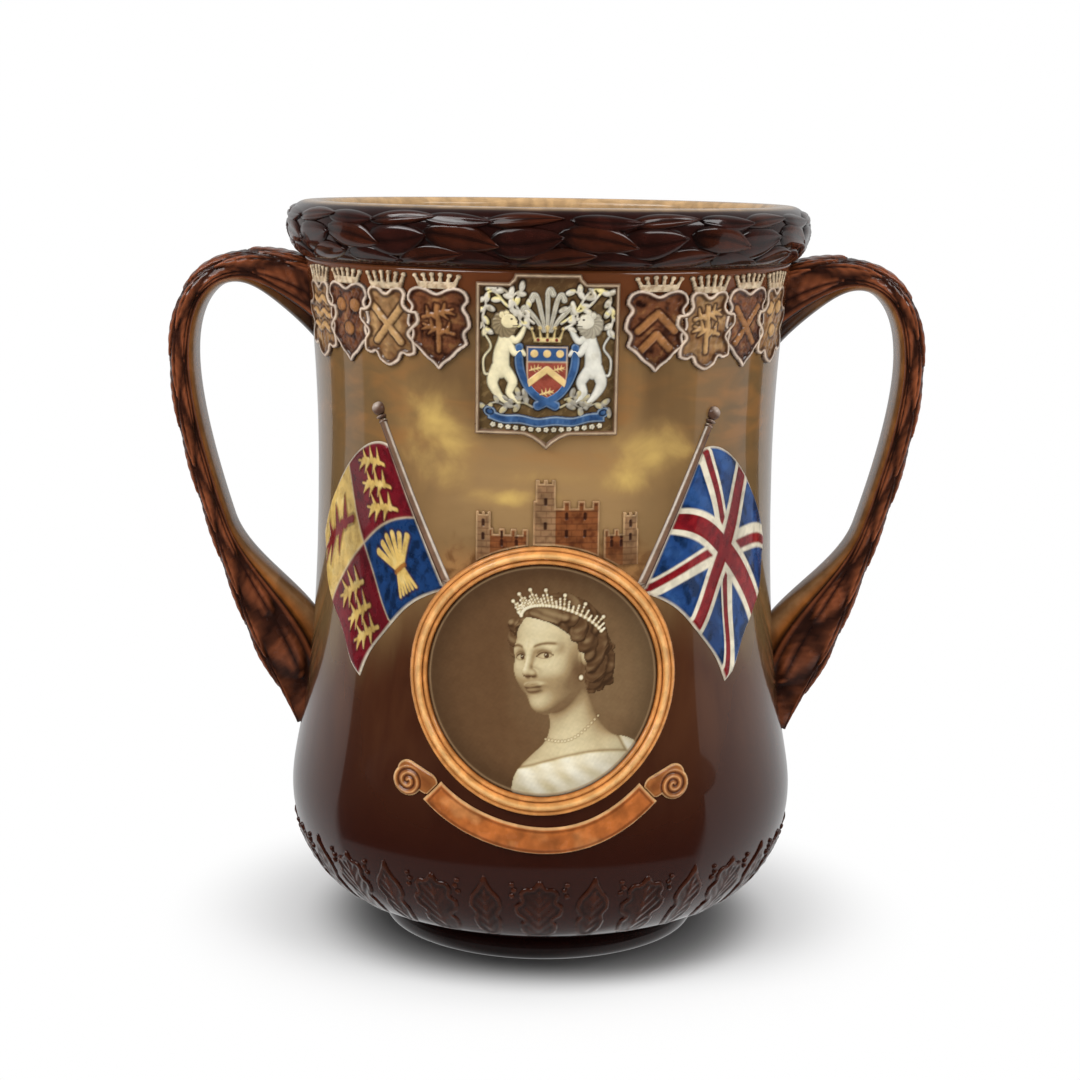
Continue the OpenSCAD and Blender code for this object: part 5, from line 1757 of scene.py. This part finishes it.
def face_tones(q, skin):
    """Skin with brows, lips, nostrils and eyes drawn on it, at points in the head's own frame."""
    qx, qy, qz = q.T
    ax = abs(qx)
    face = (qz > 0.0) & (qy > -0.5)
    brow_y = 0.088 + 0.022 * (1 - ((ax - 0.16) / 0.1) ** 2)
    brow = bell(qy - brow_y, 0.013) * ease(ax, 0.045, 0.075) * (1 - ease(ax, 0.215, 0.255))
    lip_half = 0.09
    upper = np.clip(1 - (ax / lip_half) ** 2, 0, 1)
    lips = ease(qy, -0.318, -0.304) * (1 - ease(qy, -0.256 + 0.01 * upper, -0.242))
    lips *= ease(upper, 0.02, 0.35)
    line = bell(qy + 0.274 - 0.006 * (ax / lip_half) ** 2, 0.007) * (1 - ease(ax, 0.078, 0.096))
    nostril = bell(ax, 0.014, 0.022) * bell(qy, 0.009, -0.168)
    for strength, mark in ((0.62, brow), (0.26, lips), (0.42, line), (0.5, nostril)):
        skin = skin * (1 - strength * mark * face)
    eye_x, eye_y = (ax - EYE_AT[0]) / 0.07, qy - EYE_AT[1]
    open_half = np.clip(1 - eye_x ** 2, 0, 1) ** 0.7
    above, below = eye_y - 0.03 * open_half, eye_y + 0.021 * open_half
    inside = ease(below, -0.004, 0.004) * (1 - ease(above, -0.004, 0.004)) * (open_half > 0) * face
    look = qx - np.sign(qx) * EYE_AT[0] - 0.012
    iris = 1 - ease(np.hypot(look, eye_y - 0.004), 0.022, 0.029)
    spark = 1 - ease(np.hypot(look + 0.008, eye_y - 0.012), 0.004, 0.009)
    eye = blend(blend(0.66 - 0.14 * abs(eye_x), 0.12, iris), 0.85, spark)
    skin = blend(skin, eye, inside)
    lash, crease, under = bell(above, 0.0075, 0.002), bell(above, 0.007, 0.021), bell(below, 0.005, -0.001)
    for strength, mark, reach in ((0.75, lash, 1.12), (0.3, crease, 1.0), (0.28, under, 0.95)):
        skin = skin * (1 - strength * mark * (abs(eye_x) < reach) * face)
    return skin


def print_tones(u, v):
    """Brightness from 0 to 1 of the sepia print at each place."""
    x, y = (u - HEAD_AT[0]) / HEAD_TALL, (v - MEDAL_Z - HEAD_AT[1]) / HEAD_TALL
    glow = bell(x, 0.9, 0.45) * bell(y, 1.0, -0.25)
    tones = (0.17 + 0.1 * glow + 0.012 * rough_field(u, v, 14, 201)).ravel()
    flat_x, flat_y = x.ravel(), y.ravel()
    light = np.array([-0.36, 0.46, 0.81])
    light /= np.linalg.norm(light)
    depth, found = march(skin_shape, flat_x, flat_y)
    p = np.stack([flat_x, flat_y, depth], -1)[found]
    turned, open_to = lit(skin_shape, p, light)
    skin = face_tones(head_turned(p), (0.285 + 0.49 * turned) * (0.6 + 0.4 * open_to))
    sx, sy = p[:, 0], p[:, 1]
    neckline = -0.94 + 0.07 * np.sin(3.2 * (sx + 0.1)) + 0.05 * sx
    sleeve = (sx - 0.54) * 0.88 + (sy + 0.66) * 0.46
    fall = np.maximum(neckline - sy, np.where(sy < -0.64, sleeve, -1))
    folds = 0.07 * np.sin(22 * (sy + 0.5 * sx) + 6 * np.sin(3 * sx)) + 0.03 * np.sin(50 * (sy + 0.35 * sx))
    skin = blend(skin, 0.62 + 0.26 * turned + folds, ease(fall, -0.006, 0.012))
    tones[found] = skin * (1 - 0.35 * bell(fall, 0.014))
    hair_depth, hairy = march(hair_shape, flat_x, flat_y)
    hairy &= hair_depth > np.where(found, depth, -9) - 0.002
    p = np.stack([flat_x, flat_y, hair_depth], -1)[hairy]
    turned, open_to = lit(hair_shape, p, light)
    hx, hy, hz = head_turned(p).T
    strands = 0.5 + 0.5 * np.sin(95 * hy + 30 * hx + 12 * np.sin(8 * hz))
    tones[hairy] = (0.04 + 0.24 * turned ** 2 + 0.1 * strands * turned) * (0.4 + 0.6 * open_to)
    return jewels(x, y, np.clip(tones, 0, 1).reshape(u.shape))


def jewels(x, y, tones):
    """Tiara over the hair, an earring and a row of pearls at the neck."""
    bright = np.zeros(x.shape)
    dark = np.zeros(x.shape)
    base = []
    for k, turn in enumerate(np.radians(np.linspace(-62, 110, 29))):
        way = np.array([sin(turn), 0.3 + 0.75 * cos(turn), cos(turn)])
        reach = 1.02 / np.linalg.norm(way / HAIR_RADII)
        foot = head_back(HAIR_AT + reach * way)
        peak = head_back(HAIR_AT + (reach + 0.1) * way + (0, 0.06, 0))
        at, way = foot[:2], (peak - foot)[:2] / np.linalg.norm(peak - foot)
        base.append(tuple(at))
        tall = (0.06, 0.1, 0.16, 0.1)[k % 4] * (1.1 - 0.3 * abs(turn - 0.2))
        for up, size in ((0.0, 0.018), (0.35, 0.012), (0.7, 0.012), (1.0, 0.019 if k % 4 == 2 else 0.012)):
            spot = np.hypot(x - at[0] - way[0] * tall * up, y - at[1] - way[1] * tall * up)
            bright = np.maximum(bright, 1 - ease(spot, size * 0.5, size * 1.15))
            dark = np.maximum(dark, 1 - ease(spot, size, size * 1.8))
        stem = stroke_distance(x, y, [at, at + way * tall], 0.009)
        bright = np.maximum(bright, 0.6 * (1 - ease(stem, 0.0, 0.006)))
    band = stroke_distance(x, y, base, 0.02)
    bright = np.maximum(bright, 0.55 * (1 - ease(band, 0.0, 0.006)))
    for t in np.linspace(0, 1, 17):
        at = (-0.07 + 0.46 * t, -0.74 + 0.2 * t - 0.1 * sin(pi * t))
        spot = np.hypot(x - at[0], y - at[1])
        bright = np.maximum(bright, 0.7 * (1 - ease(spot, 0.006, 0.013)))
        dark = np.maximum(dark, 0.6 * (1 - ease(spot, 0.012, 0.022)))
    ear = np.hypot(x - 0.235, (y + 0.2) * 0.8)
    bright = np.maximum(bright, 1 - ease(ear, 0.012, 0.024))
    dark = np.maximum(dark, 1 - ease(ear, 0.02, 0.036))
    return blend(tones * (1 - 0.45 * dark), 0.86, bright)


def make_plaque():
    """Slightly domed plaque with the print and a pale ring at its edge."""
    step = 0.316
    reach = PLAQUE_R + 2 * step
    u, v = patch((-reach, MEDAL_Z - reach), (reach, MEDAL_Z + reach), step)
    rho = np.hypot(u, v - MEDAL_Z)
    outside = rho - PLAQUE_R
    tones = print_tones(u, v)
    levels = (0.0, 0.2, 0.45, 0.7, 1.0)
    sepia = np.array([tone(46, 28, 14), tone(98, 70, 44), tone(158, 134, 96), tone(206, 190, 150),
                      tone(240, 234, 214)])
    paint = np.stack([np.interp(tones, levels, column) for column in sepia.T], -1)
    worn = (1 - 0.35 * ease(rho / PLAQUE_R, 0.72, 1.0)) * (1 + 0.04 * rough_field(u, v, 1.4, 205))
    paint = lay(paint * worn[..., None], 0.75 * bell(outside, 0.3, -0.85), (150, 122, 88))
    paint = lay(paint, 0.8 * bell(outside, 0.4, -0.2), (58, 34, 18))
    height = 0.45 + 0.25 * (1 - (rho / PLAQUE_R) ** 2) + 0.08 * bell(outside, 0.4, -0.85)
    material = painted_glaze("sepia_print", 0.32, 0.45, 420.0, 0.06, 0.04)
    mesh = relief_mesh("medallion_plaque_looks", u, v, outside, height, paint, 0)
    add_piece(mesh, "medallion_plaque", material)


# The stage

def floor_material():
    """Pale floor that keeps the cup's shadow, with a painted contact shadow round the foot for the camera,
    white further off; the glaze mirrors its front as dark.
    """
    material, shader, brush, place = new_material("studio_floor")
    tree = brush.tree
    shader.inputs["Roughness"].default_value = 0.9
    shader.inputs["Specular IOR Level"].default_value = 0.1
    far = brush.node("ShaderNodeVectorMath", {"operation": "LENGTH"}, {"Vector": place}, 1)
    camera, glossy, through = (brush.node("ShaderNodeLightPath", {}, {}, k) for k in (0, 3, 6))
    seen = (camera + glossy + through).math("MINIMUM", 1.0)
    across, back = (brush.node("ShaderNodeSeparateXYZ", {}, {"Vector": place}, k) for k in range(2))
    near = 1 - far.ease(0.155, 0.17)
    bright = (back + across * 0.2).ease(-0.07, -0.05).math("MAXIMUM", near * 0.4)
    glare = 1 - glossy * (0.95 - bright * 0.5)
    white = brush.node("ShaderNodeEmission", {}, {"Color": (1, 1, 1), "Strength": glare})
    # Painted contact shadow: for camera rays the floor is darkened in a ring round the foot.
    painted_contact_shadow = camera * (1 - far.ease(0.058, 0.092))
    base = (painted_contact_shadow * 0.78).mix((0.9, 0.9, 0.9), (0.04, 0.04, 0.04))
    tree.links.new(base.socket, shader.inputs["Base Color"])
    share = seen * far.ease(0.07, 0.145).math("MAXIMUM", glossy)
    mixed = brush.node("ShaderNodeMixShader", {}, {"Fac": share, "Shader": Paint(tree, shader.outputs[0]),
                                                   "Shader_001": white})
    tree.links.new(mixed.socket, tree.nodes["Material Output"].inputs["Surface"])
    return material


def make_floor():
    """Wide plain floor."""
    half = 4000.0
    corners = np.array([(-1, -1, 0), (1, -1, 0), (1, 1, 0), (-1, 1, 0)]) * half - [0, 0, EDGE]
    mesh = bpy.data.meshes.new("studio_floor")
    mesh.from_pydata((corners * MM).tolist(), [], [(0, 1, 2, 3)])
    mesh.materials.append(floor_material())
    floor = add_object("studio_floor", mesh)


def make_world():
    """White behind the cup for the camera, darker in reflections of the front, dimmer as light."""
    world = bpy.data.worlds.new("studio")
    bpy.context.scene.world = world
    world.use_nodes = True
    tree = world.node_tree
    brush = Paint(tree)
    camera, glossy, through = (brush.node("ShaderNodeLightPath", {}, {}, k) for k in (0, 3, 6))
    way = brush.node("ShaderNodeTexCoord", {}, {}, 0)
    behind = brush.node("ShaderNodeSeparateXYZ", {}, {"Vector": way}, 1)
    room = behind.ease(-0.4, 0.9) * 0.42 + 0.06
    level = bpy.context.scene.cup_stage.world_level
    seen = (camera + through).math("MINIMUM", 1.0)
    strength = seen + (1 - seen) * (glossy * room + (1 - glossy) * level)
    ground = tree.nodes["Background"]
    ground.inputs["Color"].default_value = (1, 1, 1, 1)
    tree.links.new(strength.socket, ground.inputs["Strength"])


def make_light(name, place, aim, size, power, mirrored):
    """Soft rectangular light that faces a point; mirrored says whether the glaze shows it."""
    data = bpy.data.lights.new(name, "AREA")
    data.shape = "RECTANGLE"
    data.size, data.size_y = size
    data.energy = power
    lamp = add_object(name, data)
    lamp.location = place
    lamp.rotation_euler = (Vector(aim) - Vector(place)).to_track_quat("-Z", "Y").to_euler()
    lamp.visible_glossy = mirrored


def make_camera():
    """Camera at the height, distance and slight roll of the photograph."""
    data = bpy.data.cameras.new("camera")
    data.sensor_width = 36
    data.lens = bpy.context.scene.cup_stage.lens
    camera = add_object("camera", data)
    camera.rotation_mode = "XYZ"
    pitch, roll = radians(80.197), radians(0.83)
    camera.location = (-0.0014655, -0.80944, 0.28157)
    camera.rotation_euler = (Matrix.Rotation(pitch, 3, "X") @ Matrix.Rotation(roll, 3, "Z")).to_euler()
    bpy.context.scene.camera = camera


def make_stage():
    """Floor, room, lights, camera and the plain view of colours."""
    stage = bpy.context.scene.cup_stage
    make_floor()
    make_world()
    middle = (0, 0, CUP_H * MM / 2)
    make_light("key_softbox", (-1.0, -0.75, 0.75), middle, (0.7, 0.9), stage.key_power, False)
    make_light("fill_softbox", (1.0, -0.8, 0.65), middle, (0.7, 0.9), stage.fill_power, False)
    make_light("top_softbox", (0.5, -0.1, 1.2), middle, (0.9, 0.8), stage.top_power, False)
    make_light("rim_strip", (-0.55, -0.5, 0.9), middle, (0.8, 0.45), stage.strip_power, True)
    for name, side in (("window_left", -1), ("window_right", 1)):
        make_light(name, (0.95 * side, -0.6, 0.9), middle, (0.8, 0.3), stage.window_power, True)
    make_camera()
    bpy.context.scene.view_settings.view_transform = "Standard"


class CUP_OT_vessel(bpy.types.Operator):
    """Add the turned body, the foot ring, the rim with its wreath and the border of leaves"""
    bl_idname = "cup.vessel"
    bl_label = "Vessel"

    def execute(self, context):
        dark = painted_glaze("dark_glaze", 0.2, 0.65, 160.0, 0.28)
        make_body()
        make_foot(dark)
        make_rim(dark)
        make_wreath(dark)
        make_border(dark)
        return {"FINISHED"}


class CUP_OT_handles(bpy.types.Operator):
    """Add the two leafy strap handles"""
    bl_idname = "cup.handles"
    bl_label = "Handles"

    def execute(self, context):
        make_handles()
        return {"FINISHED"}


class CUP_OT_medallion(bpy.types.Operator):
    """Add the medallion frame, its plaque and the ribbon"""
    bl_idname = "cup.medallion"
    bl_label = "Medallion"

    def execute(self, context):
        amber = painted_glaze("amber_glaze", 0.26, 0.7, 220.0, 0.24)
        make_frame(amber)
        make_plaque()
        make_ribbon(amber)
        return {"FINISHED"}


class CUP_OT_flags(bpy.types.Operator):
    """Add both flags and their poles"""
    bl_idname = "cup.flags"
    bl_label = "Flags"

    def execute(self, context):
        banner = painted_glaze("banner_enamel", 0.28, 0.6, 240.0, 0.2)
        flag = painted_glaze("flag_enamel", 0.28, 0.6, 240.0, 0.2)
        pole = painted_glaze("pole_glaze", 0.3, 0.6, 240.0, 0.2)
        make_flag(-1, "left_flag", quartered_cloth, banner)
        make_flag(1, "right_flag", crossed_cloth, flag)
        make_pole(-1, "left_flagpole", pole)
        make_pole(1, "right_flagpole", pole)
        return {"FINISHED"}


class CUP_OT_arms(bpy.types.Operator):
    """Add the arms panel and its figures"""
    bl_idname = "cup.arms"
    bl_label = "Arms"

    def execute(self, context):
        make_arms()
        return {"FINISHED"}


class CUP_OT_shields(bpy.types.Operator):
    """Add the row of crowned shields"""
    bl_idname = "cup.shields"
    bl_label = "Shields"

    def execute(self, context):
        make_shields()
        return {"FINISHED"}


class CUP_OT_castle(bpy.types.Operator):
    """Add the castle behind the medallion"""
    bl_idname = "cup.castle"
    bl_label = "Castle"

    def execute(self, context):
        make_castle()
        return {"FINISHED"}


class CUP_OT_stage(bpy.types.Operator):
    """Add the floor, the room, the lights and the camera"""
    bl_idname = "cup.stage"
    bl_label = "Stage"

    def execute(self, context):
        make_stage()
        return {"FINISHED"}


OPERATORS = (CUP_OT_vessel, CUP_OT_handles, CUP_OT_medallion, CUP_OT_flags, CUP_OT_arms, CUP_OT_shields,
             CUP_OT_castle, CUP_OT_stage)


class CUP_PT_panel(bpy.types.Panel):
    """Buttons and settings of the cup"""
    bl_label = "Loving Cup"
    bl_space_type = "VIEW_3D"
    bl_region_type = "UI"
    bl_category = "Loving Cup"

    def draw(self, context):
        for group in (context.scene.cup_sizes, context.scene.cup_colours, context.scene.cup_stage):
            box = self.layout.box()
            for key in group.__annotations__:
                box.prop(group, key)
        for operator in OPERATORS:
            self.layout.operator(operator.bl_idname)


GROUPS = {"cup_sizes": CupSizes, "cup_colours": CupColours, "cup_stage": CupStage}


def register():
    for group in (*GROUPS.values(), *OPERATORS, CUP_PT_panel):
        bpy.utils.register_class(group)
    for name, group in GROUPS.items():
        setattr(bpy.types.Scene, name, bpy.props.PointerProperty(type=group))


def unregister():
    for name in GROUPS:
        delattr(bpy.types.Scene, name)
    for group in (CUP_PT_panel, *OPERATORS, *GROUPS.values()):
        bpy.utils.unregister_class(group)


def main():
    register()
    for operator in OPERATORS:
        family, name = operator.bl_idname.split(".")
        getattr(getattr(bpy.ops, family), name)()


if __name__ == "__main__":
    main()
